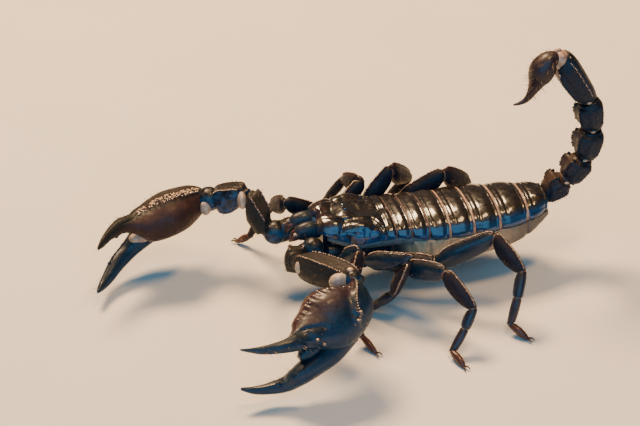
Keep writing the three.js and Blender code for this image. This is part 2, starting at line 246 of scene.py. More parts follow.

# %% [markdown]
# ## Skin, eyes and hairs
# Between the shells the skin is pale, leathery and finely folded, so it is rough and its bumps are
# stretched into wrinkles. In the joints it is dark, between the first plates its dark colour is painted
# shade, and the band under the shield is grey. The eyes are clear dark beads. The hairs are stiff and
# golden brown.

# %% Skin, eye and hair materials
def skin_finish(name, light, shade, stretch=(1.0, 1.0, 1.0)):
    """Pale folded skin. `stretch` draws its wrinkles out along the body's axes."""
    material, tree, shader = new_material(name)
    coords = tree.nodes.new("ShaderNodeTexCoord")
    mapping = add_node(tree, "ShaderNodeMapping", Scale=stretch)
    tree.links.new(coords.outputs["Object"], mapping.inputs["Vector"])
    folds = add_node(tree, "ShaderNodeTexNoise", Scale=1.0 / (0.9 * MM), Detail=4.0)
    tree.links.new(mapping.outputs["Vector"], folds.inputs["Vector"])
    colour = mixed(tree, between(tree, folds.outputs["Fac"], 0.0, 1.0, 0.35, 0.65), shade, light)
    # The painted value darkens the skin; on the flank it is partly painted shade.
    painted = tree.nodes.new("ShaderNodeAttribute")
    painted.attribute_name = "warmth"
    tree.links.new(mixed(tree, painted.outputs["Fac"], colour, (0.03, 0.027, 0.028)),
                   shader.inputs["Base Color"])
    bumpy(tree, shader, [(folds.outputs["Fac"], 0.12), (grain(tree, coords, 0.15), 0.01)])
    shader.inputs["Roughness"].default_value = 0.48
    shader.inputs["Subsurface Weight"].default_value = 0.12
    shader.inputs["Subsurface Scale"].default_value = 0.4 * MM
    return material


side_skin = skin_finish("side_skin", (0.52, 0.35, 0.20), (0.36, 0.24, 0.14), (1.0, 0.8, 0.6))
joint_skin = skin_finish("joint_skin", (0.47, 0.35, 0.24), (0.26, 0.18, 0.13))
seam_skin = skin_finish("seam_skin", (0.40, 0.24, 0.16), (0.22, 0.12, 0.08))
# Dark skin: the joints' own colour, and painted shade where it fills the first seams.
dark_skin = skin_finish("dark_skin", (0.13, 0.065, 0.045), (0.06, 0.03, 0.022))
rim_skin = skin_finish("rim_skin", (0.15, 0.15, 0.14), (0.07, 0.075, 0.08), (1.0, 0.5, 1.0))

eye_lens, eye_tree, eye_shader = new_material("eye_lens")
eye_coords = eye_tree.nodes.new("ShaderNodeTexCoord")
eye_tree.links.new(mixed(eye_tree, grain(eye_tree, eye_coords, 0.5), (0.002, 0.002, 0.002),
                         (0.012, 0.008, 0.005)), eye_shader.inputs["Base Color"])
eye_shader.inputs["Roughness"].default_value = 0.05
eye_shader.inputs["Coat Weight"].default_value = 1.0

hair_finish, hair_tree, hair_shader = new_material("hair")
hair_coords = hair_tree.nodes.new("ShaderNodeTexCoord")
hair_tree.links.new(mixed(hair_tree, grain(hair_tree, hair_coords, 2.0), (0.20, 0.09, 0.03),
                          (0.50, 0.28, 0.12)), hair_shader.inputs["Base Color"])
hair_shader.inputs["Roughness"].default_value = 0.35
print("materials:", len(bpy.data.materials))

# %% [markdown]
# ## Grids bent round into shells
# Every shell piece here is a closed skin round an axis. It could be pulled out of a circle ring by
# ring, but a grid is easier to steer: its columns run round the piece and its rows along it, and one
# function says where each crossing goes. The seam and both poles are then merged.
#
# That function takes `turn`, the share of the way round, with 0 on top, and `run`, the share of the
# way along. It also takes `lift`, a height above the skin, which later places beads and hairs.

# %% Smooth curves through a few rows
def blend_rows(rows, at):
    """Values at `at` on a smooth curve through rows of [position, value, value, ...]."""
    last = len(rows) - 1
    at = min(max(at, rows[0][0]), rows[last][0])
    k = next((i for i in range(last) if at <= rows[i + 1][0]), last - 1)
    before, a, b, after = rows[max(k - 1, 0)], rows[k], rows[k + 1], rows[min(k + 2, last)]
    span = b[0] - a[0]
    t = (at - a[0]) / span
    made = []
    for i in range(1, len(a)):
        leave = (b[i] - before[i]) / (b[0] - before[0]) * span
        arrive = (after[i] - a[i]) / (after[0] - a[0]) * span
        made.append((2 * t ** 3 - 3 * t ** 2 + 1) * a[i] + (t ** 3 - 2 * t ** 2 + t) * leave
                    + (3 * t ** 2 - 2 * t ** 3) * b[i] + (t ** 3 - t ** 2) * arrive)
    return made


def ease(low, high, value):
    """0 below low, 1 above high, and a soft step between."""
    t = min(max((value - low) / (high - low), 0.0), 1.0)
    return t * t * (3 - 2 * t)


def bell(distance, width):
    """1 at distance 0, falling off softly over `width`."""
    return math.exp(-(distance / width) ** 2)


def signed_power(value, power):
    """value to a power, keeping its sign."""
    return math.copysign(abs(value) ** power, value)


def partway(first, last, share):
    """The value at a share of the way from first to last."""
    return first + (last - first) * share


print("ease at a quarter:", ease(0.0, 1.0, 0.25))


# %% Bending a grid
MERGE_DISTANCE = 0.004


def wrap(around, along, point, warmth=None):
    """A grid bent into a closed skin by point(turn, run), in millimetres, with its warmth painted."""
    bm = bmesh.new()
    plan = bm.loops.layers.uv.new("plan")
    bmesh.ops.create_grid(bm, x_segments=around, y_segments=along, size=0.5)
    paint = bm.verts.layers.float.new("warmth")
    for face in bm.faces:
        for loop in face.loops:
            loop[plan].uv = (loop.vert.co.x + 0.5, loop.vert.co.y + 0.5)
    for vert in bm.verts:
        turn, run = vert.co.x + 0.5, vert.co.y + 0.5
        if warmth:
            vert[paint] = warmth(turn, run)
        vert.co = point(turn, round(run, 5))
    bmesh.ops.remove_doubles(bm, verts=bm.verts, dist=MERGE_DISTANCE)
    bmesh.ops.recalc_face_normals(bm, faces=bm.faces)
    return bm


def keep(bm, name, material, slot, *nodes):
    """Makes a finished mesh into a piece that rides on the frame and stands for those solids."""
    bmesh.ops.scale(bm, vec=Vector((MM, MM, MM)), verts=bm.verts)
    bmesh.ops.translate(bm, vec=FRONT, verts=bm.verts)
    mesh = bpy.data.meshes.new(name)
    bm.to_mesh(mesh)
    bm.free()
    mesh.shade_smooth()
    mesh.materials.append(material)
    piece = bpy.data.objects.new(name, mesh)
    bpy.context.scene.collection.objects.link(piece)
    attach(piece, "root")
    if nodes:
        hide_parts(*nodes)
    return piece


print("grids are merged within", MERGE_DISTANCE, "mm")

# %% [markdown]
# ## Lengths between two joints
# A leg, a claw arm and the tail are rows of shell tubes, each running from one joint to the next.
# Where the limb bends, both tubes are cut on the plane that halves the bend, so each line along a
# tube starts and stops on those planes. A plain cylinder between two joints would leave a wedge open
# on one side of the bend and overlap on the other. The ends are closed with a flat, rounded cap.
#
# Keels are the raised lines that stiffen a shell tube. Each is given as its place round the tube,
# its height, how wide it is, and where along the tube it starts and stops.

# %% Ends and keels
CAP = 0.12              # the share of a grid, at each end, that closes the end
JOINT_GAP = 0.12        # millimetres from a tube's end to the plane of the joint
WHOLE = 0.999           # a girth above this is not drawn in


def cap(run):
    """How a tube's ends close: the share of its girth, of its rounding and of its length at `run`."""
    reach = min(run, 1 - run, CAP) / CAP
    girth = math.sin(reach * math.pi / 2)
    share = min(max((run - CAP) / (1 - 2 * CAP), 0.0), 1.0)
    return girth, 1 - (1 - girth ** 4) ** 0.25, share


def drawn_in(centre, place, girth):
    """A place on a shell, drawn in to the centre where the shell closes."""
    return centre.lerp(place, girth) if girth < WHOLE else place


def keel_height(keels, turn, share):
    """The height of a tube's keels at a place on it, in millimetres."""
    total = 0.0
    for place, height, width, first, last in keels:
        away = abs((turn - place + 0.5) % 1.0 - 0.5)
        if away < 3 * width:
            total += height * bell(away, width) * ease(first, first + 0.12, share) * (
                1 - ease(last - 0.12, last, share))
    return total


print("an end closes over", CAP, "of a grid")


# %% Shell tubes
def tube(start, end, rows, up, cut=None, far_cut=None, keels=(), power=2.3, rounding=0.45,
         gap=JOINT_GAP, floor=False):
    """point(turn, run) of a shell tube, from rows of [share of the length, half width, half depth]."""
    start, end = Vector(start), Vector(end)
    length = (end - start).length
    way = (end - start).normalized()
    cut = Vector(cut).normalized() if cut else way
    far_cut = Vector(far_cut).normalized() if far_cut else way
    side = Vector(up).cross(way).normalized()
    rise = way.cross(side)

    @lru_cache(maxsize=None)
    def station(run):
        girth, curl, share = cap(run)
        wide, deep = blend_rows(rows, share)
        return girth, curl, share, wide, deep

    def point(turn, run, lift=0.0):
        girth, curl, share, wide, deep = station(run)
        angle = math.tau * turn
        grow = girth * (1 + (keel_height(keels, turn, share) + lift) * 2 / (wide + deep))
        offset = (side * wide * signed_power(math.sin(angle), 2 / power)
                  + rise * deep * signed_power(math.cos(angle), 2 / power)) * grow
        near = (gap - offset.dot(cut)) / way.dot(cut) + curl * rounding
        far = length + (-gap - offset.dot(far_cut)) / way.dot(far_cut) - curl * rounding
        place = start + offset + way * (near + (far - near) * share)
        if floor:
            place.z = max(place.z, 0.0)
        return place

    return point


def bend(joints, at):
    """The direction that halves the bend of a chain of joints at one of them."""
    here = Vector(joints[at])
    arriving = (here - Vector(joints[at - 1])).normalized()
    leaving = (Vector(joints[at + 1]) - here).normalized()
    return tuple(arriving + leaving)


print("a right angle is halved along", [round(v, 2) for v in bend([(0, 0, 0), (1, 0, 0), (1, 1, 0)], 1)])

# %% [markdown]
# Curved parts, such as fingers, claws and the sting, have no flat joints to meet. For them the grid
# follows a smooth path, and each row stands square to that path.

# %% Curved tubes
def curved(rows, up, keels=(), power=2.1, floor=False):
    """point(turn, run) along a path, from rows of [share, x, y, z, half width, half depth]."""

    @lru_cache(maxsize=None)
    def station(run):
        girth, curl, share = cap(run)
        x, y, z, wide, deep = blend_rows(rows, share)
        ahead = Vector(blend_rows(rows, min(share + 0.01, 1.0))[:3])
        behind = Vector(blend_rows(rows, max(share - 0.01, 0.0))[:3])
        way = (ahead - behind).normalized()
        side = Vector(up).cross(way).normalized()
        set_back = curl * min(wide, deep) * 0.8
        centre = Vector((x, y, z)) + way * (set_back * (1 if run < 0.5 else -1) if girth < 1 else 0.0)
        return girth, share, wide, deep, side, way.cross(side), centre

    def point(turn, run, lift=0.0):
        girth, share, wide, deep, side, rise, centre = station(run)
        angle = math.tau * turn
        grow = girth * (1 + (keel_height(keels, turn, share) + lift) * 2 / (wide + deep))
        place = centre + (side * wide * signed_power(math.sin(angle), 2 / power)
                          + rise * deep * signed_power(math.cos(angle), 2 / power)) * grow
        if floor:
            place.z = max(place.z, 0.0)
        return place

    return point


print("curved tubes ready")

# %% [markdown]
# ## Beads and hairs
# Keels on a scorpion are rows of small beads, and a few stiff hairs stand on the jaws, the claws, the
# legs, the tail and the sting. A bead is a coarse ball, and a hair a cone of three sides. Thousands of
# them as single objects would be slow, so beads and hairs are joined into a few meshes. The hairs'
# own map, called OFBake, gives each hair one small patch at its root's place.

# %% Bead and hair helpers
def bead(bm, place, radius, stretch=(1.0, 1.0, 1.0)):
    """Adds one bead to a mesh."""
    bmesh.ops.create_icosphere(bm, subdivisions=2, radius=radius,
                               matrix=Matrix.Translation(place) @ Matrix.Diagonal((*stretch, 1.0)))


def bead_row(bm, point, turn, first, last, count, radius, seed):
    """A row of uneven beads along a tube, from one share of its length to another."""
    dice = random.Random(seed)
    for i in range(count):
        run = first + (last - first) * (i + dice.uniform(-0.2, 0.2)) / max(count - 1, 1)
        place = point(turn + dice.uniform(-0.006, 0.006), min(max(run, CAP), 1 - CAP), radius * 0.1)
        bead(bm, place, radius * dice.uniform(0.75, 1.2))


def hair(bm, layer, place, direction, length, patch):
    """Adds one stiff hair, with its map patch at `patch`."""
    turn = direction.to_track_quat("Z", "Y").to_matrix().to_4x4()
    middle = place + direction * length / 2
    made = bmesh.ops.create_cone(bm, cap_ends=True, segments=3, radius1=0.055, radius2=0.012, depth=length,
                                 matrix=Matrix.Translation(middle) @ turn)
    for face in {face for vert in made["verts"] for face in vert.link_faces}:
        for loop in face.loops:
            offset = loop.vert.co - place
            loop[layer].uv = (patch[0] + 0.0015 * math.tanh(offset.x),
                              patch[1] + 0.0015 * math.tanh(offset.z))


def hairs(name, groups, seed):
    """Hairs over several skins: each group is (point, turns, runs, count, length, part of the map)."""
    bm = bmesh.new()
    layer = bm.loops.layers.uv.new("OFBake")
    dice = random.Random(seed)
    for index, (point, turns, runs, count, length) in enumerate(groups):
        for _ in range(count):
            turn, run = dice.uniform(*turns), round(dice.uniform(*runs), 3)
            root = point(turn, run)
            out = (point(turn, run, 0.5) - root).normalized()
            lean = (point(turn, min(run + 0.03, 1.0)) - root).normalized() * 0.45
            stray = Vector([dice.uniform(-0.25, 0.25) for _ in range(3)])
            patch = ((index % 8 + 0.05 + 0.9 * (turn % 1.0)) / 8, (index // 8 % 8 + 0.05 + 0.9 * run) / 8)
            way, size = (out + lean + stray).normalized(), length * dice.uniform(0.6, 1.1)
            if (root + way * size).z > 0.1:
                hair(bm, layer, root - out * 0.05, way, size, patch)
    bmesh.ops.recalc_face_normals(bm, faces=bm.faces)
    return keep(bm, name, hair_finish, "shell_black")


hairy = []          # every skin that gets hairs, gathered while the pieces are made
print("bead and hair helpers ready")

# %% [markdown]
# ## The body's outline
# The shells of the back lie like roof tiles on a long low arch. One list gives the arch at twelve
# places from head to tail: how wide it is, and how high its edge, its top and the belly lie. Every
# piece of the body reads this one list, so the plates, the flanks and the belly always meet. Round
# the waist the rim of the shells draws up a little and shows more of the soft flank.

# %% Body outline
BODY_OUTLINE = [
    [0.0, 4.7, 16.9, 18.7, 12.4], [1.6, 5.9, 16.7, 19.2, 9.8], [5.0, 7.0, 15.5, 19.0, 8.6],
    [9.0, 7.8, 14.4, 18.6, 8.0], [13.0, 8.2, 14.0, 18.1, 7.6], [17.0, 8.1, 13.8, 17.8, 7.3],
    [24.0, 8.4, 13.4, 17.8, 6.7], [31.0, 8.6, 13.3, 17.7, 6.4], [38.0, 8.3, 13.3, 17.6, 6.6],
    [44.0, 7.4, 13.4, 17.5, 7.4], [48.5, 6.1, 13.7, 17.3, 9.2], [52.2, 4.2, 14.2, 17.0, 11.8],
]
GAP = 0.3
SHIELD_LENGTH = 16.5
PLATES_END = 52.2
PLATE_LENGTHS = [3.4, 3.9, 4.5, 5.4, 6.0, 6.6, 5.6]
RIM_RISE = 1.2


def rim_rise(y):
    """How far the rim of the shells draws up above the soft flank round the waist, in millimetres."""
    return RIM_RISE * ease(7.0, 14.0, y) * (1 - ease(17.0, 27.0, y))


def arch_point(turn, y, scale=1.0, raise_by=0.0, slide=0.0, under=0.0):
    """A place on the arch of the back at y. Its underside is flat, and `under` below the edge."""
    half, edge, top, _ = blend_rows(BODY_OUTLINE, y)
    edge += rim_rise(y)
    angle = math.tau * turn
    square = ease(1.0, 5.0, y) * (1 - ease(12.0, 16.5, y))
    x = half * scale * signed_power(math.sin(angle), 0.92 - 0.32 * square)
    rise = max(0.0, math.cos(angle)) ** (0.8 - 0.27 * square) * (top - edge) * scale
    fall = under * max(0.0, -math.cos(angle)) ** 0.5
    outward = Vector((math.sin(angle) * 0.8, 0.0, max(math.cos(angle), 0.0) + 0.15)).normalized()
    return Vector((x, y + slide, edge + GAP / 2 + rise - fall)) + outward * raise_by


print("half width at the shield's rear:", round(blend_rows(BODY_OUTLINE, SHIELD_LENGTH)[0], 2))

# %% [markdown]
# ## Head shield
# One shield covers the head and the leg bases. A furrow runs down its middle from a notch in the
# front edge, and parts round a low hill that carries the two main eyes. On each side of the notch
# the shield swells into a lobe, and behind it each side bulges like a cheek. Slanting furrows cross
# the flanks, another crosses near the rear, and a fine raised rim runs round the edge. All of these
# are heights added to the arch. They could be sculpted by hand, but a sum of soft bumps, each with a
# name, is easy to read and to change.

# %% Relief of the shield
EYE_HILL = 7.0


def shield_relief(x, y, half):
    """The height of the shield's furrows, lobes and rim at a place on it."""
    out = abs(x)
    furrow = -0.42 * bell(x, 0.55) * (1 - bell(y - EYE_HILL, 2.6)) * (1 - 0.4 * ease(8, 16, y))
    hill = 0.62 * bell(x, 1.45) * bell(y - EYE_HILL, 1.9)
    moat = -0.22 * bell(math.hypot(x / 1.1, (y - EYE_HILL) / 1.4) - 1.9, 0.5)
    lobe = 0.50 * bell(out - 3.4, 1.7) * bell(y - 3.2, 2.0)
    cheek = 0.80 * bell(out - 5.2, 1.9) * bell(y - 9.2, 2.7)
    slant = (-0.60 * bell((y - 12.8) - 0.30 * (out - 4.6), 0.55)
             * ease(1.2, 3.2, out) * (1 - ease(6.8, 8.0, out)))
    brow = (-0.40 * bell((y - 5.6) + 0.35 * (out - 4.0), 0.6)
            * ease(1.8, 3.0, out) * (1 - ease(6.2, 7.2, out)))
    ridge = (0.34 * bell(out - 1.8, 0.38) * bell(y - 7.5, 5.5)
             - 0.30 * bell(out - 2.7, 0.6) * bell(y - 8.0, 3.6))
    rear = -0.34 * bell(y - 14.6, 0.36)
    rim = 0.10 * bell(half - out, 0.2) - 0.05 * bell(half - out - 0.45, 0.2)
    lip = 0.14 * bell(y - 16.0, 0.35)
    grains = (0.035 * noise.noise(Vector((x, y, 0.0)) * 1.6)
              + 0.02 * noise.noise(Vector((x, y, 4.0)) * 4.0))
    pits = (0.16 * noise.noise(Vector((x, y, 9.0)) * 0.8)
            * ease(4.6, 6.4, out) * (1 - ease(15.0, 16.2, y)))
    return pits + furrow + hill + moat + lobe + cheek + slant + brow + ridge + rear + rim + lip + grains


print("eye hill:", round(shield_relief(0.0, EYE_HILL, 7.4), 2), "mm high")


# %% Head shield
def shield_point(turn, run, lift=0.0):
    """A place on the head shield."""
    girth, curl, share = cap(run)
    y = 0.25 + (SHIELD_LENGTH - 0.35) * share + (0.25 * (curl - 1) * (1 if run < 0.5 else -1))
    half = blend_rows(BODY_OUTLINE, y)[0]
    angle = math.tau * turn
    x = half * math.sin(angle)
    notch = 1.15 * math.cos(math.pi / 2 * min(1.0, abs(x) / 2.6)) ** 2 * (1 - ease(0.0, 2.5, y))
    height = shield_relief(x, y, half) if math.cos(angle) > -0.05 else 0.0
    place = arch_point(turn, y, 1.0, height + lift, notch, 0.35)
    return drawn_in(Vector((0.0, place.y, 17.0)), place, girth)


def shield_warmth(turn, run):
    """Red brown on the front lobes."""
    y = SHIELD_LENGTH * cap(run)[2]
    return 0.55 * (1 - ease(1.5, 4.5, y)) * max(0.0, math.cos(math.tau * turn))


shield = keep(wrap(144, 120, shield_point, shield_warmth), "shield", shield_shell, "shell_black", "carapace")
print(shield.name, "has", len(shield.data.polygons), "faces")

# %% [markdown]
# The two main eyes are clear beads set into the sides of their hill, each in a raised ring. Three
# tiny side eyes sit in each front corner of the shield. A ball is enough for an eye, because only its
# outer cap shows, and the ring is a curved tube whose path is a circle.

# %% Eyes
EYE_RADIUS = 0.55
RING_STEPS = 12


def ball(centre, radius, stretch=(1.0, 1.0, 1.0), detail=4):
    """A closed ball on its own mesh."""
    bm = bmesh.new()
    bmesh.ops.create_icosphere(bm, subdivisions=detail, radius=radius,
                               matrix=Matrix.Translation(centre) @ Matrix.Diagonal((*stretch, 1.0)))
    return bm


hill_top = blend_rows(BODY_OUTLINE, EYE_HILL)[2] + 0.35
for name, side in (("left", 1), ("right", -1)):
    eye_place = Vector((side * 0.78, EYE_HILL, hill_top + 0.12))
    keep(ball(eye_place, EYE_RADIUS), f"main_eye_{name}", eye_lens, "eye_black", f"eye_{name}")
    ring = curved([[i / RING_STEPS, eye_place.x + side * 0.22,
                    eye_place.y + 0.5 * math.cos(math.tau * i / RING_STEPS),
                    eye_place.z + 0.02 + 0.5 * math.sin(math.tau * i / RING_STEPS), 0.12, 0.12]
                   for i in range(RING_STEPS + 1)], (1.0, 0.01, 0.0))
    keep(wrap(10, 40, ring), f"eye_ring_{name}", black_shell, "shell_black")
    corner = bmesh.new()
    for step in range(3):
        x = side * (4.75 + 0.38 * step)
        _, edge, _, _ = blend_rows(BODY_OUTLINE, 1.1 + 0.62 * step)
        bead(corner, Vector((x, 1.0 + 0.62 * step, edge + 0.62)), 0.24 - 0.03 * step)
    keep(corner, f"side_eyes_{name}", eye_lens, "eye_black")
print("eyes made, main eyes of", EYE_RADIUS, "mm")

# %% [markdown]
# ## Back plates
# Seven plates cover the back. Each starts a little lower than the lip before it, crosses a fine ridge
# and groove near its front edge, swells, and ends in a thickened lip. Separate plates are used, and
# not one shell with grooves, because the edge of each one has to catch the light on its own.
#
# The skin between two plates shows as a thin pinkish line, so a narrow arch of skin lies in every gap.
# In the first three gaps it lies deeper, and its dark colour there is painted shade.

# %% Relief of a plate
def plate_relief(x, share, half, number):
    """The height of a plate's lines and lips at a place on it."""
    out = abs(x) / half
    line = ((0.10 * bell(share - 0.2, 0.035) - 0.10 * bell(share - 0.27, 0.04))
            * (1 - ease(0.75, 0.9, out)))
    swell = 0.26 * math.sin(math.pi * ease(0.2, 1.0, share)) * (0.4 + 0.6 * bell(out - 0.5, 0.45))
    lip = 0.12 * bell(share - 0.95, 0.05) - 0.07 * bell(share - 0.86, 0.05)
    rim = 0.13 * bell(1 - out, 0.02) - 0.06 * bell(1 - out - 0.045, 0.02)
    middle = 0.10 * bell(x, 0.4) * ease(0.25, 0.5, share)
    keels = 0.22 * bell(out - 0.42, 0.05) * ease(0.3, 0.5, share) if number == 7 else 0.0
    grains = 0.04 * noise.noise(Vector((x, share * 4, number * 7.0)) * 1.3)
    return line + swell + lip + rim + middle + keels + grains


print("a plate's lip:", round(plate_relief(0.0, 0.95, 8.0, 1), 2), "mm high")


# %% Shapes of a plate and a seam
def plate_point(number, first, length):
    """point(turn, run) of one back plate."""

    def point(turn, run, lift=0.0):
        girth, curl, share = cap(run)
        y = first + (length - GAP) * share
        scale = 0.965 + 0.035 * ease(0.0, 0.35, share) - 0.008 * ease(0.9, 1.0, share)
        half = blend_rows(BODY_OUTLINE, y)[0]
        angle = math.tau * turn
        x = half * math.sin(angle)
        corner = 0.5 * bell(abs(math.sin(angle)) - 1.0, 0.05) * (0.5 - share)
        height = plate_relief(x, share, half, number) if math.cos(angle) > -0.05 else 0.0
        place = arch_point(turn, y, scale, height + lift, corner, 0.30)
        edge = blend_rows(BODY_OUTLINE, y)[1]
        return drawn_in(Vector((0.0, place.y, edge + 0.6)), place, girth)

    return point


def seam_band(first, last, scale):
    """point(turn, run) of the narrow arch of skin between two plates."""

    def point(turn, run, lift=0.0):
        girth, _, share = cap(run)
        y = partway(first, last, share)
        place = arch_point(turn, y, scale, lift, 0.0, 0.2)
        edge = blend_rows(BODY_OUTLINE, y)[1]
        return drawn_in(Vector((0.0, place.y, edge + 0.6)), place, girth)

    return point


print("plates and seams lie on one arch, with gaps of", GAP, "mm")

# %% Back plates
PAINTED_SHADE_SEAMS = 3
y = SHIELD_LENGTH + GAP
stretch_plates = (PLATES_END - SHIELD_LENGTH) / sum(PLATE_LENGTHS)
plate_seams = []
for number, plain_length in enumerate(PLATE_LENGTHS, 1):
    length = plain_length * stretch_plates
    plate_seams.append(y - GAP / 2)
    keep(wrap(120, 30, plate_point(number, y, length)), f"plate_{number}", black_shell, "shell_black",
         f"back_plate_{number}")
    # The first seams lie deeper, and their dark skin is painted shade.
    scale, seam_finish = (0.945, dark_skin) if number <= PAINTED_SHADE_SEAMS else (0.970, seam_skin)
    keep(wrap(96, 8, seam_band(y - GAP - 0.2, y + 0.15, scale)), f"seam_{number}", seam_finish, "soft_skin")
    y += length
print("plates at", [round(value, 1) for value in plate_seams])

# %% [markdown]
# ## Soft flanks
# Below the plates a soft wall of skin joins the back to the belly. It is gathered into upright folds,
# one at each seam and, from the third seam on, a fainter one behind it. Fine wrinkles lie between
# them, and the skin bulges a little where it has room. Cloth simulation could gather it too, but this
# skin is held along both edges, so the folds are simply heights on rings round the body.

# %% Flank skin
FLANK_START, FLANK_END = 15.6, 52.1


def keel_ring(turn, y, widen, lift, bulge=0.0):
    """A place on the body below the shells: flat on top, round below."""
    half, edge, _, belly = blend_rows(BODY_OUTLINE, y)
    angle = math.tau * turn
    down = max(0.0, -math.cos(angle))
    x = half * widen * math.sin(angle) * (1 + 0.32 * math.sin(math.pi * down) * down)
    depth = min(1.0, down * 1.35) * (edge - belly - lift)
    outward = Vector((math.sin(angle), 0.0, 0.3 * math.cos(angle)))
    return Vector((x, y, edge - GAP / 2 - depth)) + outward * bulge


def flank_point(turn, run, lift=0.0):
    """A place on the flank skin."""
    girth, _, share = cap(run)
    y = partway(FLANK_START, FLANK_END, share)
    fold = sum(bell(y - seam, 0.40) for seam in plate_seams)
    half_fold = sum(bell(y - seam - 2.6, 0.22) for seam in plate_seams[2:])
    down = math.cos(math.tau * turn)
    wrinkle = noise.noise(Vector((turn * 3.0, y * 0.9 + 2.5 * down, 1.0)))
    fine = noise.noise(Vector((turn * 30.0, y * 1.8 + 3.0 * down, 3.0)))
    bulge = 0.30 - 0.32 * fold - 0.06 * half_fold + 0.13 * wrinkle + 0.03 * fine + lift
    widen = 0.84 + 0.13 * ease(FLANK_START, 24.0, y)
    place = keel_ring(turn, y, widen, 0.8, bulge)
    return drawn_in(Vector((0.0, place.y, 13.0)), place, girth)


def flank_shade_and_darkening(turn, run):
    """Painted shade towards the belly and in the folds, and darker at the front and towards the tail."""
    y = partway(FLANK_START, FLANK_END, cap(run)[2])
    # Painted shade towards the belly and in the folds.
    down = max(0.0, -math.cos(math.tau * turn))
    folds = 0.45 * sum(bell(y - seam, 0.14) for seam in plate_seams)
    return min(1.0, 0.75 * ease(0.55, 0.85, down) + folds + 0.8 * ease(36.0, 47.0, y)
               + 1 - ease(17.0, 21.0, y))


keep(wrap(96, 220, flank_point, flank_shade_and_darkening), "flank_skin", side_skin, "soft_skin", "soft_body")
print("flank folds at", len(plate_seams), "seams")

# %% [markdown]
# ## Underside
# Under the head the first joints of the legs lie side by side like wedges round a small breast plate,
# so that solid becomes one shell with grooves between the wedges.
#
# A thick root joins each claw arm to the body. Under the rim of the shield runs a soft grey fold of
# skin on each side, as a long thin tube that follows the rim, because a real shield rests on such a
# fold and doesn't end over a gap.

# %% Shape of the chest
CHEST_START, CHEST_END = 1.3, 16.9
LEG_GROOVES = (3.0, 6.4, 10.0, 13.4)


def chest_point(turn, run, lift=0.0):
    """A place on the shell that holds the leg bases."""
    girth, _, share = cap(run)
    y = partway(CHEST_START, CHEST_END, share)
    lean = 0.35 * abs(math.sin(math.tau * turn)) * 4
    grooves = sum(bell(y - groove - lean, 0.3) for groove in LEG_GROOVES)
    widen = 0.68 + 0.16 * ease(CHEST_START, 3.2, y)
    place = keel_ring(turn, y, widen, 0.0, 0.1 - 0.4 * grooves + lift)
    return drawn_in(Vector((0.0, place.y, 12.0)), place, girth)


print("chest:", round(CHEST_END - CHEST_START, 1), "mm long")

# %% Chest, arm roots and shield folds
FOLD_STEPS = 12
keep(wrap(72, 90, chest_point), "chest", limb_shell, "shell_black", "leg_bases")
for name, side in (("left", 1), ("right", -1)):
    root = curved([[0.0, side * 3.0, 7.5, 9.8, 1.8, 1.8], [0.5, side * 4.6, 4.2, 11.4, 2.6, 2.6],
                   [1.0, side * 5.1, 1.2, 12.2, 2.1, 2.1]], (0.0, 0.0, 1.0))
    keep(wrap(40, 32, root), f"arm_root_{name}", limb_shell, "shell_black")
    rows = []
    for step in range(FOLD_STEPS):
        share = step / (FOLD_STEPS - 1)
        y = 2.0 + 23.0 * share
        half, edge, _, _ = blend_rows(BODY_OUTLINE, y)
        height = edge + 0.6 * rim_rise(y) - 0.75
        rows.append([share, side * (half * 0.95 - 0.55), y, height, 0.6, 0.55 + 0.6 * share])
    keep(wrap(28, 90, curved(rows, (0.0, 0.0, 1.0))), f"shield_fold_{name}", rim_skin, "soft_skin")
print("chest, arm roots and shield folds made")

# %% [markdown]
# The belly behind the legs is armoured with five broad brown plates. They barely move against each
# other, so they are one low trough with four grooves.

# %% Belly plates
BELLY_START, BELLY_END = 18.0, 51.0
BELLY_SEAMS = [23.5, 29.5, 35.5, 41.5]


def belly_point(turn, run, lift=0.0):
    """A place on the belly plates, which are one low trough with four seams."""
    girth, _, share = cap(run)
    y = partway(BELLY_START, BELLY_END, share)
    half, _, _, low = blend_rows(BODY_OUTLINE, y)
    angle = math.tau * turn
    width = half * (0.5 + 0.16 * ease(BELLY_START, 22.0, y))
    seam = sum(bell(y - place, 0.22) for place in BELLY_SEAMS)
    down = 0.8 * max(0.0, -math.cos(angle)) ** 0.6 - 0.25 * seam * max(0.0, -math.cos(angle)) + lift
    place = Vector((width * math.sin(angle), y, low + 0.8 - down))
    return drawn_in(Vector((0.0, place.y, low + 0.5)), place, girth)


keep(wrap(48, 120, belly_point), "belly", red_shell, "shell_brown", "belly_plates")
print("belly plates:", len(BELLY_SEAMS) + 1)

# %% [markdown]
# Between the chest and the belly lie the combs, which a scorpion drags over the ground to smell and
# feel it. Each is a thin curved spine with a row of long soft teeth, made from stretched beads.

# %% Combs
COMB_TEETH = 14
for name, side in (("left", 1), ("right", -1)):
    spine = curved([[0.0, side * 1.2, 17.6, 6.5, 0.8, 0.3], [0.5, side * 3.9, 19.6, 6.4, 0.75, 0.32],
                    [1.0, side * 6.2, 22.4, 6.2, 0.35, 0.22]], (0.0, 0.0, 1.0))
    bm = wrap(14, 40, spine)
    for step in range(COMB_TEETH):
        share = step / (COMB_TEETH - 1)
        root = Vector((side * (1.7 + 4.4 * share), 18.6 + 3.9 * share, 6.25))
        bead(bm, root + Vector((-side * 0.55, 1.0 - 0.3 * share, -0.1)), 0.55, (0.42, 1.6, 0.42))
    keep(bm, f"comb_teeth_{name}", red_shell, "shell_brown", f"comb_{name}")
print("combs made, teeth on each:", COMB_TEETH)
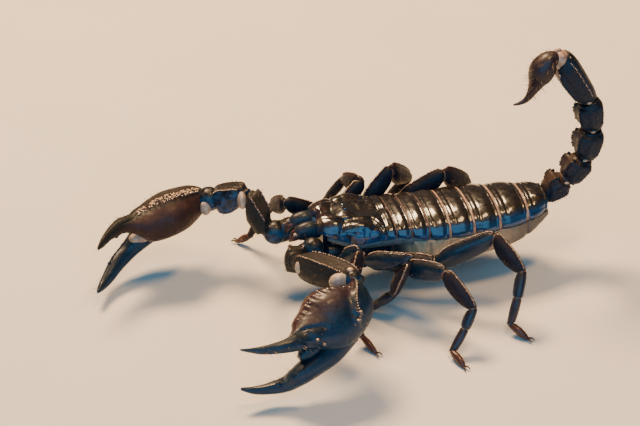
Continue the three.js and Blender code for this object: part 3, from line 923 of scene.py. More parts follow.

# %% [markdown]
# ## Jaws
# Two small jaws stick out below the front edge. Each is a swollen base that ends in a fixed finger
# and a moving one, with three small teeth at their root, a few stiff hairs and a spot of pale skin
# beside the moving finger, which is partly a painted yellow highlight. All of it is curved tubes,
# because nothing here is straight or flat.

# %% Jaws
for name, side in (("left", 1), ("right", -1)):
    base = curved([[0.0, side * 2.05, 1.2, 15.9, 1.5, 1.5], [0.3, side * 2.1, -0.8, 16.4, 1.8, 1.95],
                   [0.7, side * 2.2, -2.8, 16.2, 1.75, 1.85], [1.0, side * 2.1, -3.9, 15.7, 1.3, 1.4]],
                  (0.0, 0.0, 1.0), keels=((0.0, 0.1, 0.05, 0.2, 0.9),))
    bm = wrap(40, 44, base, lambda turn, run: 0.3 * ease(0.3, 0.9, run))
    for x, y, z, radius in ((0.6, -4.4, 15.2, 0.30), (0.9, -4.7, 14.8, 0.26), (1.2, -4.5, 14.4, 0.22)):
        bead(bm, Vector((side * (x + 0.9), y, z)), radius)
    keep(bm, f"jaw_{name}", claw_shell, "shell_brown", f"chelicera_{name}")
    fixed = curved([[0.0, side * 1.5, -3.2, 16.3, 0.75, 0.7], [0.5, side * 1.25, -4.6, 15.7, 0.5, 0.5],
                    [1.0, side * 1.2, -5.3, 14.5, 0.14, 0.14]], (0.0, 0.0, 1.0))
    keep(wrap(16, 24, fixed), f"jaw_fixed_finger_{name}", red_shell, "shell_brown")
    moving = curved([[0.0, side * 2.9, -3.2, 15.9, 0.8, 0.8], [0.5, side * 2.7, -4.8, 15.2, 0.5, 0.55],
                     [1.0, side * 1.9, -5.6, 14.1, 0.14, 0.14]], (0.0, 0.0, 1.0))
    keep(wrap(16, 24, moving), f"jaw_moving_finger_{name}", red_shell, "shell_brown")
    hairy.append((base, (0.2, 0.8), (0.55, 0.88), 16, 0.9))
    # Pale skin that is partly a painted yellow highlight beside the jaw.
    keep(ball((side * 2.9, -4.2, 16.3), 0.5, (0.9, 1.4, 0.8)), f"jaw_skin_glint_{name}", joint_skin, "soft_skin")
print("jaws made, with", len(hairy), "hairy skins so far")

# %% [markdown]
# ## Claw arms
# Each claw arm has a short base, an upper length and a thicker forearm, both with two beaded keels on
# top, and the hand. The joints are the solid model's. Three tubes would leave deep notches where the
# arm bends sharply, so blue-black knobs fill the bends from inside, and pale skin swells in the wedge
# that opens on the outside of a bend. The arms differ: one bends down and forward, the other reaches
# ahead.

# %% Arm joints
ARMS = {
    "left": {"joints": [(5.2, 1.0, 12.0), (6.4, -5.2, 13.2), (14.8, -7.4, 17.6), (27.7, 1.8, 19.0)],
             "along": (0.64, -0.67, -0.36), "face": (0.59, 0.14, 0.79)},
    "right": {"joints": [(-5.2, 1.0, 12.0), (-5.2, -8.2, 13.0), (-11.5, -11.2, 18.3), (-17.0, -18.6, 15.3)],
              "along": (0.09, -0.98, -0.16), "face": (-0.24, -0.18, 0.95)},
}
ARM_LENGTHS = [
    ("arm_base", [[0, 1.8, 1.8], [0.4, 2.3, 2.3], [0.7, 2.75, 2.75], [1, 2.1, 2.2]], 0.0),
    ("arm_upper", [[0, 1.6, 1.7], [0.2, 2.2, 2.5], [0.55, 2.45, 2.75], [0.8, 2.5, 2.8], [0.93, 2.2, 2.4],
                   [1, 1.7, 1.8]], 0.1),
    ("arm_fore", [[0, 1.6, 1.7], [0.15, 2.5, 2.6], [0.45, 3.0, 3.0], [0.8, 2.7, 2.7], [1, 1.8, 1.8]], 0.15),
]
ARM_SKINS = {
    "left": [(2, (2.9, 0.1, 0.5), 1.6, (1.0, 0.7, 1.1)), (3, (-1.1, -3.2, 0.2), 1.9, (0.8, 1.15, 0.95))],
    "right": [(2, (0.5, -1.6, -0.35), 1.9, (1.0, 0.55, 1.05)),
              (3, (1.7, -1.3, -0.65), 1.6, (0.8, 0.8, 1.15))],
}
ARM_KNOBS = {
    "left": [(1, (-0.6, 3.8, 1.0), 2.4), (1, (0.0, 0.0, 0.0), 2.0), (3, (-0.6, -0.4, 0.6), 1.9)],
    "right": [(1, (0.5, 1.2, -0.3), 2.65), (3, (-0.1, -0.1, 0.3), 2.75)],
}
ARM_FINISHES = {"left": [limb_shell, dull_shell, dull_shell], "right": [blue_shell, dull_shell, blue_shell]}
WRIST_HINGE = (-1.5, -0.8, 2.0)
ARM_KEELS = ((0.08, 0.34, 0.03, 0.05, 0.98), (0.92, 0.34, 0.03, 0.05, 0.98), (0.38, 0.28, 0.03, 0.05, 0.95),
             (0.62, 0.28, 0.03, 0.05, 0.95))
print("knobs:", {name: len(knobs) for name, knobs in ARM_KNOBS.items()})


# %% [markdown]
# Each hand points its own way. Three directions are worked out for it once, and every place in the
# hand and its fingers is then given along them, so that one set of sizes serves both hands.

# %% Directions of a hand
class Hand:
    """The directions of one hand: ahead along it, inward to the body, and up out of its upper face."""

    def __init__(self, name):
        arm = ARMS[name]
        self.side = 1 if name == "left" else -1
        self.ahead = Vector(arm["along"]).normalized()
        face = Vector(arm["face"])
        self.up = (face - self.ahead * face.dot(self.ahead)).normalized()
        self.inward = self.ahead.cross(self.up) * self.side
        self.wrist = Vector(arm["joints"][3])
        self.chain = [*arm["joints"], tuple(self.at(6.0, 0.0, 0.0))]

    def at(self, along, inward, up):
        """A place given by the hand's own directions, in millimetres from the wrist."""
        return self.wrist + self.ahead * along + self.inward * inward + self.up * up


HANDS = {name: Hand(name) for name in ARMS}
print("wrists at", {name: [round(value, 1) for value in hand.wrist] for name, hand in HANDS.items()})

# %% Arm lengths
for name, hand in HANDS.items():
    for i, (part, rows, warm) in enumerate(ARM_LENGTHS):
        keels = ARM_KEELS if i else ARM_KEELS[:1]
        point = tube(hand.chain[i], hand.chain[i + 1], rows, (0.0, 0.0, 1.0),
                     (0.0, -1.0, 0.0) if i == 0 else bend(hand.chain, i), bend(hand.chain, i + 1), keels,
                     power=2.4 if i else 2.1, rounding=0.9 if i else 1.3)
        keep(wrap(56, 56, point, lambda turn, run, warm=warm: warm), f"{part}_shell_{name}",
             ARM_FINISHES[name][i], "shell_black", f"{part}_{name}")
        beads = bmesh.new()
        for row, keel in enumerate(keels[:2]):
            bead_row(beads, point, keel[0], 0.24, 0.82, 28 if i else 6, 0.18 if i else 0.12,
                     f"{part}{name}{row}")
        keep(beads, f"{part}_beads_{name}", painted_glint_shell if i == 2 else bead_shell, "shell_black")
        hairy.append((point, (0.0, 1.0), (0.15, 0.9), 12, 1.3))
    for i, offset, radius, stretch in ARM_SKINS[name]:
        keep(ball(Vector(hand.chain[i]) + Vector(offset), radius, stretch), f"arm_skin_{i}_{name}",
             joint_skin, "soft_skin")
    if name == "left":
        # The gold of this knob is a painted highlight.
        keep(ball(hand.wrist + Vector(WRIST_HINGE), 0.8), "wrist_hinge", painted_glint_shell, "shell_brown")
    for k, (i, offset, radius) in enumerate(ARM_KNOBS[name], 1):
        keep(ball(Vector(hand.chain[i]) + Vector(offset), radius), f"arm_knob_{k}_{name}",
             blue_shell, "shell_black")
print("claw arms made")

# %% [markdown]
# ## Hands
# The hand is broad and flat like a bean. A beaded keel runs down its outer half, its inner half
# swells into a red brown lobe that is puckered near the edge, and the fixed finger grows out of it
# past a deep crease. The moving finger hinges below the fixed one, so the claw opens up and down.
#
# Both hands share one outline, and a small table gives what differs. The left hand has a beaded outer
# keel, four large beads, a deep crease and a large tooth. The right hand is duller and carries a dense
# patch of grains.

# %% Outline of a hand
HAND_ROWS = [
    [0.4, 0.1, 0.5, 1.9, 2.1], [1.3, -1.2, 0.6, 2.3, 2.7], [3.2, -1.8, 0.3, 4.1, 3.7],
    [6.2, -0.6, 0.3, 6.1, 4.4], [9.5, 0.2, 0.3, 6.8, 4.7], [12.8, 0.5, 0.0, 6.1, 4.5],
    [15.6, 1.6, 0.2, 4.9, 3.8], [17.8, 2.7, 1.3, 3.0, 2.3], [20.5, 3.9, 2.5, 1.8, 1.5],
    [23.5, 6.3, 2.6, 1.5, 1.2], [26.2, 9.3, 2.2, 1.1, 0.9], [28.0, 12.1, 2.1, 0.35, 0.35],
]
MOVING_FINGER = [(14.5, -3.2, -3.2), (19.4, -2.0, -5.3), (23.4, 0.1, -6.9), (26.5, 2.6, -8.4),
                 (30.0, 7.5, -8.9)]
FINGER_PLANE = (0.8, -0.35, -0.48)
HAND_START = HAND_ROWS[0][0]
HAND_END = HAND_ROWS[-1][0]
HAND_BUMPS = ((-0.075, 7.6), (-0.10, 9.2), (-0.09, 17.5), (-0.155, 17.0))
HAND_DETAILS = {
    "left": {"keel": (0.12, 0.0045), "crease": -0.6, "big_tooth": 0.75, "grains": 12, "keel_beads": 18,
             "bumps": HAND_BUMPS, "skin_end": 16.9, "finish": claw_shell},
    "right": {"keel": (0.11, -0.0035), "crease": -0.2, "big_tooth": 0.45, "grains": 200, "keel_beads": 0,
              "bumps": (), "skin_end": 19.2, "finish": dull_shell},
}
FINGER_WEBS = {
    "left": [(0.37, (18.7, -2.0, -4.0), 2.5, 3.1), (0.47, (22.2, -0.8, -4.9), 2.05, 2.9),
             (0.55, (24.2, 0.3, -7.0), 1.6, 1.7)],
    "right": [(0.37, (18.7, -2.0, -4.9), 2.3, 2.1), (0.46, (20.4, -1.5, -5.7), 2.0, 1.9),
              (0.58, MOVING_FINGER[2], 1.65, 1.75)],
}
print("hand length:", round(HAND_END - HAND_START, 1), "mm")


# %% Keels of a hand
def inner_keel(name, along):
    """Where the beaded keel between the upper face and the inner side lies round a hand."""
    start, slope = HAND_DETAILS[name]["keel"]
    return start + slope * min(along, 14.0)


def outer_keel(along):
    """Where the keel from the wrist to the outer edge lies round the hand."""
    return 0.13 - 0.0267 * min(along, 11.0)


print("inner keel starts at", {name: inner_keel(name, 0.0) for name in HANDS}, "of the way round")


# %% Relief of a hand
def hand_relief(name, turn, along):
    """The height of the hand's keels, lobe, puckers and crease, in millimetres."""
    place = (turn + 0.5) % 1.0 - 0.5
    palm = ease(0.8, 2.5, along) * (1 - ease(13.5, 16.5, along))
    beside = place - outer_keel(along)
    outer = (0.55 * bell(beside, 0.020) - 0.30 * bell(beside - 0.055, 0.025)) * (
        ease(0.8, 2.5, along) * (1 - ease(8.0, 10.5, along)))
    away = place - inner_keel(name, along)
    inner = 0.20 * bell(away, 0.022) * palm
    pucker = 0.10 * math.sin(along * 4.6 + place * 12.0) * bell(away + 0.012, 0.035) * palm
    bumps = sum(0.45 * bell(place - at, 0.022) * bell(along - far, 0.55) for at, far in HAND_BUMPS)
    lobe = 0.35 * bell(place - 0.07, 0.06) * bell(along - 9.0, 4.5)
    crease = (HAND_DETAILS[name]["crease"] * bell(along - 14.6 - 33.0 * max(place, 0.0), 0.5)
              * ease(-0.04, 0.01, place) * (1 - ease(0.17, 0.22, place)))
    fork = (-0.35 * bell(along - 20.5 - 11.0 * place, 0.6)
            * ease(-0.28, -0.2, place) * (1 - ease(-0.02, 0.02, place)))
    knuckle = 0.45 * bell(along - 17.0, 1.2) * bell(place + 0.02, 0.07)
    thick = 0.45 * bell(along - 21.0, 2.6)
    finger_keel = 0.16 * bell(place - 0.1, 0.04) * ease(17.0, 19.0, along)
    tooth = 0.55 * bell(along - 22.4, 0.9) * bell(abs(place) - 0.5, 0.12)
    grains = 0.05 * noise.noise(Vector((place * 22.0, along * 0.9, 1.0)))
    if name == "right":
        outer = bumps = 0.0
    return (outer + inner + pucker + bumps + lobe + crease + fork + knuckle + thick
            + finger_keel + tooth + grains)


print("outer keel of the left hand:", round(hand_relief("left", outer_keel(5.0), 5.0), 2), "mm high")


# %% Surface and colour of a hand
def hand_point(name, hand):
    """point(turn, run) of a hand with its fixed finger."""
    press_along, press_in, press_up = FINGER_PLANE
    press = (hand.ahead * press_along + hand.inward * press_in + hand.up * press_up).normalized()
    root = hand.at(*MOVING_FINGER[0])
    wrist_plane = Vector(bend(hand.chain, 3)).normalized()

    def point(turn, run, lift=0.0):
        girth, curl, share = cap(run)
        along = partway(HAND_START, HAND_END, share)
        centre_in, centre_up, wide, deep = blend_rows(HAND_ROWS, along)
        angle = math.tau * turn
        relief = hand_relief(name, turn, along) * min(1.0, deep / 3.0) + lift
        grow = girth * (1 + relief * 2 / (wide + deep))
        place = hand.at(along, centre_in + wide * math.sin(angle) * grow,
                        centre_up + deep * math.cos(angle) * grow)
        least = (JOINT_GAP - (place - hand.wrist).dot(wrist_plane)) / hand.ahead.dot(wrist_plane)
        most = (-JOINT_GAP - (place - root).dot(press)) / hand.ahead.dot(press)
        if along < 6.0:
            place += hand.ahead * max(0.0, least) * (1 - ease(3.0, 6.0, along))
        if along < 19.0:
            place += hand.ahead * min(0.0, most) * (1 - ease(17.5, 19.0, along))
        return place

    return point


def hand_run(along):
    """The share of a hand's grid at a distance along the hand."""
    return round(CAP + (1 - 2 * CAP) * (along - HAND_START) / (HAND_END - HAND_START), 4)


def hand_warmth(name, turn, run):
    """Red brown on the inner face, black outside it and on the finger."""
    along = partway(HAND_START, HAND_END, cap(run)[2])
    place = (turn + 0.5) % 1.0 - 0.5
    face = (1 - ease(0.36, 0.46, place)) * (1 - ease(13.0, 15.5, along - 30.0 * max(place - 0.02, 0.0)))
    if name == "right":
        within = place - inner_keel(name, along)
        return (0.25 * ease(-0.15, 0.0, place) + 0.75 * ease(0.03, 0.06, within)) * face
    return (0.65 * ease(-0.03, 0.06, place) + 0.35 * ease(0.12, 0.18, place)) * face * (
        ease(-0.01, 0.02, place - outer_keel(along)))


print("a hand's grid runs from", hand_run(HAND_START), "to", hand_run(HAND_END))

# %% [markdown]
# Along the inner edges of both fingers runs a row of uneven teeth, with one large tooth in each. The
# hand carries golden beads, whose gold is a painted highlight. Scattering them by chance looks natural,
# and a named seed makes each run of this script scatter them alike.

# %% Teeth and beads of a hand
TOOTH_STEPS = 26


def claw_teeth(name, palm, finger, dice):
    """Teeth along the moving and the fixed finger."""
    teeth = bmesh.new()
    last = TOOTH_STEPS - 1
    for step in range(TOOTH_STEPS):
        run = round(0.46 + 0.40 * step / last, 4)
        size = HAND_DETAILS[name]["big_tooth"] if step == 9 else 0.2 + 0.12 * dice.random()
        bead(teeth, finger(0.0, run), size * (1.1 - 0.5 * step / last))
    for step in range(TOOTH_STEPS):
        along = 19.5 + 7.6 * step / last
        size = 0.55 if step == 10 else 0.2 + 0.12 * dice.random()
        bead(teeth, palm(0.5, hand_run(along)), size * (1.1 - 0.5 * step / last))
    return teeth


def hand_beads(name, palm, dice):
    """Grains beside the inner keel, beads on the outer keel and the large beads."""
    details = HAND_DETAILS[name]
    beads = bmesh.new()
    for _ in range(details["grains"]):
        along = 1.6 + 15.0 * dice.random()
        turn = inner_keel(name, along) + dice.uniform(-0.035, 0.02)
        bead(beads, palm(turn % 1.0, hand_run(along), 0.03), dice.uniform(0.14, 0.28))
    for step in range(details["keel_beads"]):
        along = 1.8 + 7.0 * step / (details["keel_beads"] - 1)
        bead(beads, palm(outer_keel(along) % 1.0, hand_run(along), 0.0), dice.uniform(0.18, 0.26))
    for place, along in details["bumps"]:
        bead(beads, palm(place % 1.0, hand_run(along), 0.0), 0.42)
    return beads


print("teeth on each finger:", TOOTH_STEPS)

# %% [markdown]
# The moving finger is a curved tube that starts inside the palm, so that no gap shows at its hinge.
# In the left claw a web fills the root of the gap between the fingers. Pale skin shows at the hinge.

# %% Hands and fingers
for name, hand in HANDS.items():
    palm = hand_point(name, hand)
    keep(wrap(112, 150, palm, partial(hand_warmth, name)), f"hand_shell_{name}",
         HAND_DETAILS[name]["finish"], "shell_brown", f"hand_{name}")
    rows = [[share, *hand.at(*place), wide, deep] for share, place, wide, deep in (
        (0.0, (9.5, -3.6, -1.2), 3.2, 2.9), (0.2, (14.5, -3.0, -3.0), 3.1, 2.8), *FINGER_WEBS[name],
        (0.74, MOVING_FINGER[3], 1.2, 1.4), (0.88, (28.6, 5.1, -8.9), 0.8, 0.9),
        (1.0, MOVING_FINGER[4], 0.3, 0.3))]
    finger = curved(rows, tuple(hand.up), keels=((0.75, 0.2, 0.05, 0.05, 0.8), (0.0, 0.15, 0.04, 0.1, 0.9)))
    keep(wrap(40, 90, finger), f"moving_finger_shell_{name}", claw_shell, "shell_black",
         f"moving_finger_{name}")
    if name == "left":
        web = curved([[0.0, *hand.at(15.8, 0.2, -1.6), 2.0, 2.0], [0.5, *hand.at(18.4, 0.8, -1.8), 1.8, 1.9],
                      [1.0, *hand.at(20.3, 1.1, -2.2), 0.8, 1.2]], tuple(hand.up))
        keep(wrap(32, 36, web), "finger_web_left", claw_shell, "shell_brown")
    dice = random.Random(f"teeth{name}")
    keep(claw_teeth(name, palm, finger, dice), f"claw_teeth_{name}", claw_shell, "shell_black")
    keep(hand_beads(name, palm, dice), f"hand_beads_{name}", painted_glint_shell, "shell_brown")
    skin = curved([[0.0, *hand.at(14.0, -1.2, -3.4), 1.2, 1.2], [0.5, *hand.at(16.6, -0.9, -3.1), 1.5, 1.5],
                   [1.0, *hand.at(HAND_DETAILS[name]["skin_end"], -0.6, -2.9), 0.7, 0.7]], tuple(hand.up))
    keep(wrap(28, 28, skin), f"finger_skin_{name}", joint_skin, "soft_skin")
    hairy.append((palm, (0.6, 1.1), (0.3, 0.88), 40, 1.4))
    hairy.append((finger, (0.5, 1.0), (0.3, 0.88), 14, 1.3))
print("hands made:", len(HANDS))

# %% [markdown]
# ## Legs
# Each of the eight legs has six lengths between seven places. A short hip turns the leg. The femur
# and the knee are flattened from side to side, with a sharp beaded upper edge. The tibia and the heel
# are slim and round, and the foot ends in two hooked claws. The rows give a leg's girths, and each
# pair of legs is a little larger than the pair before it.
#
# Every foot ends at one height, so that the animal stands on a flat floor. One leg folds back on
# itself, and its knee is turned edge on. The legs of the right side are a duller, warmer black.

# %% Leg joints
FOOT_HEIGHT = 0.45
LEGS = {
    "left_1": [(7.6, 4.6, 11.0), (10.0, 4.4, 13.0), (15.0, 6.0, 17.0), (20.0, 3.0, 11.0),
               (21.9, 2.3, 6.0), (23.6, 4.6, 2.2), (27.8, 6.4, FOOT_HEIGHT)],
    "left_2": [(7.7, 8.0, 10.8), (10.2, 9.4, 12.0), (16.1, 16.2, 14.0), (16.2, 13.4, 6.6),
               (14.6, 10.8, 3.8), (12.8, 9.6, 1.6), (10.2, 8.4, FOOT_HEIGHT)],
    "left_3": [(7.7, 11.5, 10.8), (12.9, 17.2, 10.4), (22.3, 22.8, 14.0), (29.2, 26.7, 9.0),
               (30.9, 24.6, 5.5), (33.0, 21.4, 1.8), (37.2, 22.6, FOOT_HEIGHT)],
    "left_4": [(7.9, 15.4, 9.8), (12.8, 23.8, 10.6), (16.4, 35.5, 17.0), (23.1, 39.5, 12.0),
               (26.4, 37.6, 8.0), (27.8, 35.9, 2.6), (31.2, 38.6, FOOT_HEIGHT)],
    "right_1": [(-7.6, 4.6, 11.0), (-8.9, 3.6, 13.2), (-9.6, -3.4, 16.4), (-16.0, -5.0, 12.0),
                (-18.2, -7.4, 7.6), (-19.4, -9.2, 3.0), (-21.7, -11.6, FOOT_HEIGHT)],
    "right_2": [(-7.7, 8.0, 10.8), (-9.4, 8.6, 12.6), (-12.0, 14.0, 17.2), (-18.6, 12.2, 14.6),
                (-20.0, 9.0, 9.6), (-21.0, 6.4, 4.6), (-23.2, 4.0, FOOT_HEIGHT)],
    "right_3": [(-7.7, 11.5, 10.8), (-10.4, 14.6, 12.4), (-12.0, 21.0, 19.2), (-16.8, 26.6, 13.8),
                (-18.2, 23.0, 9.0), (-19.6, 21.0, 3.6), (-22.6, 20.0, FOOT_HEIGHT)],
    "right_4": [(-7.9, 15.4, 9.8), (-11.0, 22.4, 11.4), (-9.6, 32.4, 17.9), (-13.0, 39.2, 12.8),
                (-16.0, 38.0, 8.0), (-18.4, 36.6, 3.0), (-21.4, 38.6, FOOT_HEIGHT)],
}
TURNED_KNEE = ("left_2", "knee")
LEG_LENGTHS = [
    ("hip", "thigh", [[0, 1.1, 1.2], [0.5, 1.35, 1.5], [1, 1.2, 1.35]], limb_shell, 0.1),
    ("femur", "thigh", [[0, 1.2, 1.3], [0.25, 1.4, 1.95], [0.7, 1.35, 1.9], [0.92, 1.3, 1.6], [1, 1.0, 1.2]],
     limb_shell, 0.0),
    ("knee", "patella", [[0, 1.0, 1.2], [0.15, 1.3, 1.75], [0.6, 1.3, 1.8], [0.9, 1.1, 1.3], [1, 0.85, 0.95]],
     knee_shell, 0.2),
    ("tibia", "shank", [[0, 0.85, 0.95], [0.3, 1.0, 1.15], [0.85, 0.95, 1.08], [1, 0.84, 0.92]],
     limb_shell, 0.1),
    ("heel", "shank", [[0, 0.80, 0.86], [0.5, 0.84, 0.90], [1, 0.70, 0.74]], limb_shell, 0.35),
    ("foot", "shank", [[0, 0.62, 0.66], [0.4, 0.74, 0.88], [0.85, 0.58, 0.62], [1, 0.38, 0.4]],
     red_shell, 0.3),
]
FLAT_LENGTHS = 3        # hip, femur and knee are flattened and beaded
FOOT = 5                # the place of the foot in LEG_LENGTHS
LEG_SKINS = ((1, 1.0), (2, 1.0), (3, 0.8), (4, 0.72), (5, 0.6))
print("lengths in a leg:", [part for part, *_ in LEG_LENGTHS])


# %% [markdown]
# Two curved claws end each foot, one to each side. Each is a small tube that tapers to a point, and
# both go into one mesh.

# %% Claws of a foot
def leg_claws(joints):
    """Two hooked claws at the tip of a foot."""
    bm = bmesh.new()
    tip = Vector(joints[6])
    way = (tip - Vector(joints[5])).normalized()
    flat = Vector((way.x, way.y, 0.0)).normalized()
    across = Vector((-flat.y, flat.x, 0.0))
    for spread in (-1, 1):
        rows = [[0.0, *(tip - way * 0.2 + across * 0.15 * spread), 0.2, 0.2],
                [0.4, *(tip + flat * 0.6 + across * 0.4 * spread + Vector((0, 0, 0.35))), 0.17, 0.17],
                [0.8, *(tip + flat * 1.15 + across * 0.55 * spread + Vector((0, 0, 0.1))), 0.11, 0.11],
                [1.0, *(tip + flat * 1.3 + across * 0.55 * spread + Vector((0, 0, -0.25))), 0.04, 0.04]]
        part = wrap(8, 24, curved(rows, (0.0, 0.0, 1.0), floor=True))
        spare = bpy.data.meshes.new("spare")
        part.to_mesh(spare)
        part.free()
        bm.from_mesh(spare)
        bpy.data.meshes.remove(spare)
    return bm


print("foot height:", FOOT_HEIGHT, "mm")

# %% Legs
for name, joints in LEGS.items():
    size = 0.93 + 0.055 * int(name[-1])
    outward = 1 if name.startswith("left") else -1
    for i, (part, node, plain_rows, material, warm) in enumerate(LEG_LENGTHS):
        rows = [[at, wide * size, deep * size] for at, wide, deep in plain_rows]
        flat = i < FLAT_LENGTHS
        up = (0.0, 0.0, 1.0) if flat else (outward, 0.2, 0.3)
        if (name, part) == TURNED_KNEE:
            up = (1.0, -0.2, 0.3)
        keels = ((0.0, 0.22, 0.03, 0.02, 1.0), (0.5, 0.14, 0.04, 0.1, 0.9)) if flat else (
            (0.0, 0.06, 0.05, 0.1, 0.9),)
        point = tube(joints[i], joints[i + 1], rows, up, (outward, 0.0, 0.0) if i == 0 else bend(joints, i),
                     bend(joints, i + 1) if i < FOOT else None, keels, power=2.2,
                     rounding=0.3 if flat else 0.12, floor=not flat)

        def warmth(turn, run, warm=warm, flat=flat):
            """Warm along the upper edge of the flattened lengths, a brown that partly stands in for the gold
            glint on the keel.
            """
            return warm + (0.35 * bell((turn + 0.5) % 1.0 - 0.5, 0.05) if flat else 0.0)

        keep(wrap(36, 44, point, warmth), f"{part}_{name}",
             knee_shell if outward < 0 and i < FOOT else material,
             "foot_brown" if node == "shank" else "shell_black", f"{node}_{name}")
        if flat:
            beads = bmesh.new()
            bead_row(beads, point, 0.0, 0.15, 0.87, 34, 0.18, f"{part}{name}")
            keep(beads, f"{part}_beads_{name}", painted_glint_shell, "shell_black")
        if i > 0:
            hairy.append((point, (0.25, 0.75), (0.2, 0.88), 9 if i < 4 else 12, 0.8))
    for i, radius in LEG_SKINS:
        keep(ball(Vector(joints[i]), radius * size, detail=3), f"leg_skin_{i}_{name}", dark_skin, "soft_skin")
    keep(leg_claws(joints), f"claws_{name}", red_shell, "foot_brown")
print("legs made:", len(LEGS))

# %% [markdown]
# ## Tail
# Five tail lengths curve up and forward, with the upper side on the inside of the curve. Each has
# beaded keels that rise into a tooth at its far end, and a shallow trough between the upper two.
#
# A ball of dark skin fills each joint, and a pale hinge bead sits on each side of it. These beads are
# partly the joints' pale knobs and partly a painted glint. The last joint shows more skin than the
# others, soft and lumpy. Its ball is larger, lighter and covered in lumps, and it has no hinge beads.

# %% Joints and keels of the tail
TAIL_JOINTS = [(52.2, 16.0), (57.4, 18.6), (61.3, 23.7), (62.7, 30.7), (61.4, 38.0), (54.6, 48.8)]
BULB_START = (52.4, 49.0)
TAIL_GIRTHS = [2.9, 2.9, 3.0, 2.9, 2.8]
LAST_LENGTH = len(TAIL_GIRTHS)
JOINT_LUMPS = 26
TAIL_KEELS = ((0.09, 0.36, 0.045, 0.05, 1.0), (0.91, 0.36, 0.045, 0.05, 1.0), (0.22, 0.2, 0.03, 0.1, 0.95),
              (0.78, 0.2, 0.03, 0.1, 0.95), (0.36, 0.2, 0.03, 0.1, 0.95), (0.64, 0.2, 0.03, 0.1, 0.95),
              (0.0, -0.15, 0.05, 0.0, 1.0))
tail_chain = [(0.0, y, z) for y, z in TAIL_JOINTS] + [(0.0, *BULB_START)]
print("tail lengths:", LAST_LENGTH)


# %% Beads and skin of the tail
def tail_beads(point, number):
    """Beads on the keels of one tail length, which are finer on the last one."""
    beads = bmesh.new()
    last = number == LAST_LENGTH
    for row, turn in enumerate((0.09, 0.91)):
        bead_row(beads, point, turn, 0.2, 0.82, 14 if last else 8, 0.17 if last else 0.24,
                 f"tail{number}{row}")
        bead(beads, point(turn, 0.84, 0.12), 0.42)
    for row, turn in enumerate((0.31, 0.69) if last else (0.22, 0.78, 0.36, 0.64)):
        bead_row(beads, point, turn, 0.2, 0.84, 20 if last else 10, 0.2 if last else 0.13,
                 f"tailside{number}{row}")
    return beads


def joint_ball(place, number, girth):
    """The skin in the joint after one tail length, with lumps on the last."""
    if number < LAST_LENGTH:
        return ball(place, girth * 0.6)
    joint = ball(place, girth * 0.7)
    dice = random.Random("tail joint")
    for _ in range(JOINT_LUMPS):
        way = Vector([dice.uniform(-1, 1) for _ in range(3)]).normalized()
        bead(joint, place + way * girth * 0.70, dice.uniform(0.35, 0.6))
    return joint


print("lumps on the last joint:", JOINT_LUMPS)

# %% Tail lengths
for number, girth in enumerate(TAIL_GIRTHS, 1):
    rows = [[at, wide * girth, deep * girth] for at, wide, deep in (
        (0, 0.76, 0.76), (0.12, 0.90, 0.88), (0.35, 0.98, 0.96), (0.7, 1.02, 1.03), (0.88, 0.97, 0.96),
        (1, 0.78, 0.76))]
    point = tube(tail_chain[number - 1], tail_chain[number], rows, (0.0, -1.0, 0.1),
                 (0.0, 1.0, 0.0) if number == 1 else bend(tail_chain, number - 1), bend(tail_chain, number),
                 TAIL_KEELS, power=2.5, rounding=0.6)

    def warmth(turn, run):
        """Brown along the upper side of the first lengths."""
        return (0.9 - 0.25 * number) * max(0.0, math.cos(math.tau * turn)) if number < 4 else 0.0

    keep(wrap(72, 64, point, warmth), f"tail_shell_{number}", tail_shell, "shell_black", f"tail_{number}")
    keep(tail_beads(point, number), f"tail_beads_{number}",
         tail_shell if number < LAST_LENGTH else painted_glint_shell, "shell_black")
    hairy.append((point, (0.15, 0.85), (0.2, 0.85), 14, 1.0))
    place = Vector(tail_chain[number])
    keep(joint_ball(place, number, girth), f"tail_skin_{number}",
         dark_skin if number < LAST_LENGTH else seam_skin, "soft_skin")
    if number < LAST_LENGTH:
        # Pale hinge beads, partly the joints' pale knobs and partly a painted glint.
        hinge = bmesh.new()
        for side in (-1, 1):
            bead(hinge, place + Vector((side * girth * 0.78, -0.5, 0.3)), 0.38, (0.7, 1.5, 0.8))
        keep(hinge, f"tail_hinge_glint_{number}", joint_skin, "soft_skin")
print("tail lengths and joints made")

# %% [markdown]
# ## Sting
# A swollen bulb ends the tail and narrows to the hooked sting. It is one curved tube, reddest at the
# tip, and carries more and longer hairs than any other piece.

# %% Sting
telson_rows = [[share, 0.0, *place, wide, deep] for share, place, wide, deep in (
    (0.0, (55.0, 48.5), 1.2, 1.2), (0.1, (53.4, 49.1), 1.6, 1.5), (0.22, (52.0, 48.6), 2.4, 2.2),
    (0.36, (50.7, 47.0), 2.8, 2.75), (0.5, (49.9, 45.2), 2.5, 2.45), (0.62, (49.2, 43.4), 1.6, 1.6),
    (0.74, (48.4, 41.6), 0.95, 1.0), (0.85, (47.3, 40.0), 0.6, 0.65), (0.94, (45.8, 39.3), 0.38, 0.42),
    (1.0, (44.4, 39.1), 0.16, 0.18))]
telson_point = curved(telson_rows, (0.0, -1.0, 0.3),
                      keels=((0.36, 0.12, 0.03, 0.1, 0.6), (0.64, 0.12, 0.03, 0.1, 0.6)))
keep(wrap(64, 110, telson_point, lambda turn, run: 0.7 * ease(0.5, 0.95, run)), "sting", sting_shell,
     "shell_brown", "telson")
hairy.append((telson_point, (0.0, 1.0), (0.2, 0.75), 90, 1.8))
print("sting made")

# %% [markdown]
# ## Hairs
# All hairs are made last, because they need the skins they grow on. They go into a few joined meshes,
# which are lighter to handle than hundreds of single hairs. A particle system would be quicker to set
# up. Plain meshes were chosen because each hair then grows from a chosen place on a skin.

# %% Hairs
SKINS_PER_MESH = 40
for start in range(0, len(hairy), SKINS_PER_MESH):
    made = hairs(f"hairs_{start // SKINS_PER_MESH + 1}", hairy[start:start + SKINS_PER_MESH], 500 + start)
    print(made.name, len(made.data.polygons), "faces")

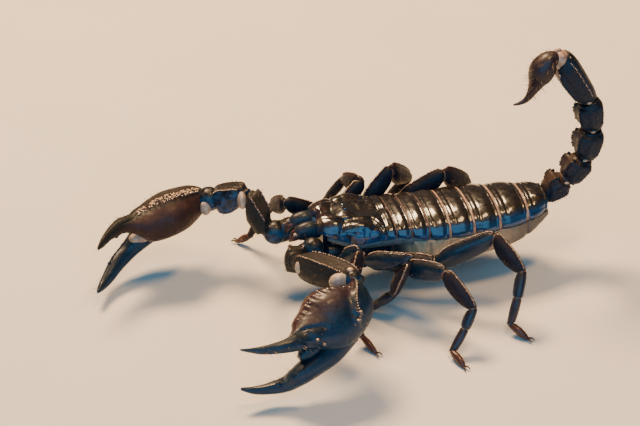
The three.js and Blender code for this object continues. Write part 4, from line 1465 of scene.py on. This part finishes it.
# %% [markdown]
# ## Floor and light
# A plain pale floor and soft light show the shape. Three panels light it. A warm one stands above and
# behind, so that gold highlights run along the top of every plate. A small golden one hangs overhead
# and adds a little gold to the back. A wide cool one stands on the camera's side, so that the flanks
# pick up blue and the shadows turn cool. A shiny shell mirrors its lights, and a panel's reflection is
# a broad patch where a point light's would be a dot. The world around is dim, cool and even, and it
# keeps the shadows from turning black.

# %% Floor
floor_mesh = bpy.data.meshes.new("floor")
bm = bmesh.new()
bmesh.ops.create_grid(bm, x_segments=1, y_segments=1, size=3.0)
bm.to_mesh(floor_mesh)
bm.free()
floor_finish, floor_tree, floor_shader = new_material("floor_paper")
floor_coords = floor_tree.nodes.new("ShaderNodeTexCoord")
floor_tree.links.new(mixed(floor_tree, grain(floor_tree, floor_coords, 30.0), (0.62, 0.56, 0.48),
                           (0.68, 0.62, 0.53)), floor_shader.inputs["Base Color"])
floor_shader.inputs["Roughness"].default_value = 0.85
floor_mesh.materials.append(floor_finish)
floor = bpy.data.objects.new("floor", floor_mesh)
bpy.context.scene.collection.objects.link(floor)
print("floor is part of the stage")


# %% Lights
def panel(name, place, target, size, power, colour):
    """A soft light panel that the camera doesn't see."""
    light = bpy.data.lights.new(name, "AREA")
    light.shape = "RECTANGLE"
    light.size, light.size_y = size
    light.energy = power
    light.color = colour
    piece = bpy.data.objects.new(name, light)
    bpy.context.scene.collection.objects.link(piece)
    piece.location = place
    piece.rotation_mode = "QUATERNION"
    piece.rotation_quaternion = (target - place).to_track_quat("-Z", "Y")
    piece.visible_camera = False


middle = spot(0.0, 25.0, 12.0)
toward = Vector((back.x, back.y, 0.0)).normalized()
panel("warm_key", middle - toward * 0.34 - right * 0.22 + Vector((0, 0, 0.60)), middle,
      size=(0.30, 0.18), power=14.5, colour=(1.0, 0.67, 0.37))
panel("warm_top", middle + toward * 0.06 + right * 0.10 + Vector((0, 0, 0.62)), middle,
      size=(0.20, 0.10), power=2.6, colour=(1.0, 0.62, 0.27))
panel("cool_side", middle + toward * 0.60 + Vector((0, 0, 0.38)), middle,
      size=(0.80, 0.70), power=5.2, colour=(0.18, 0.57, 1.0))
print("panels:", [light.name for light in bpy.data.lights])

# %% World
world = bpy.data.worlds.new("studio")
bpy.context.scene.world = world
world.use_nodes = True
world.node_tree.nodes["Background"].inputs["Color"].default_value = (0.75, 0.82, 0.95, 1.0)
world.node_tree.nodes["Background"].inputs["Strength"].default_value = 0.10
print("world set")
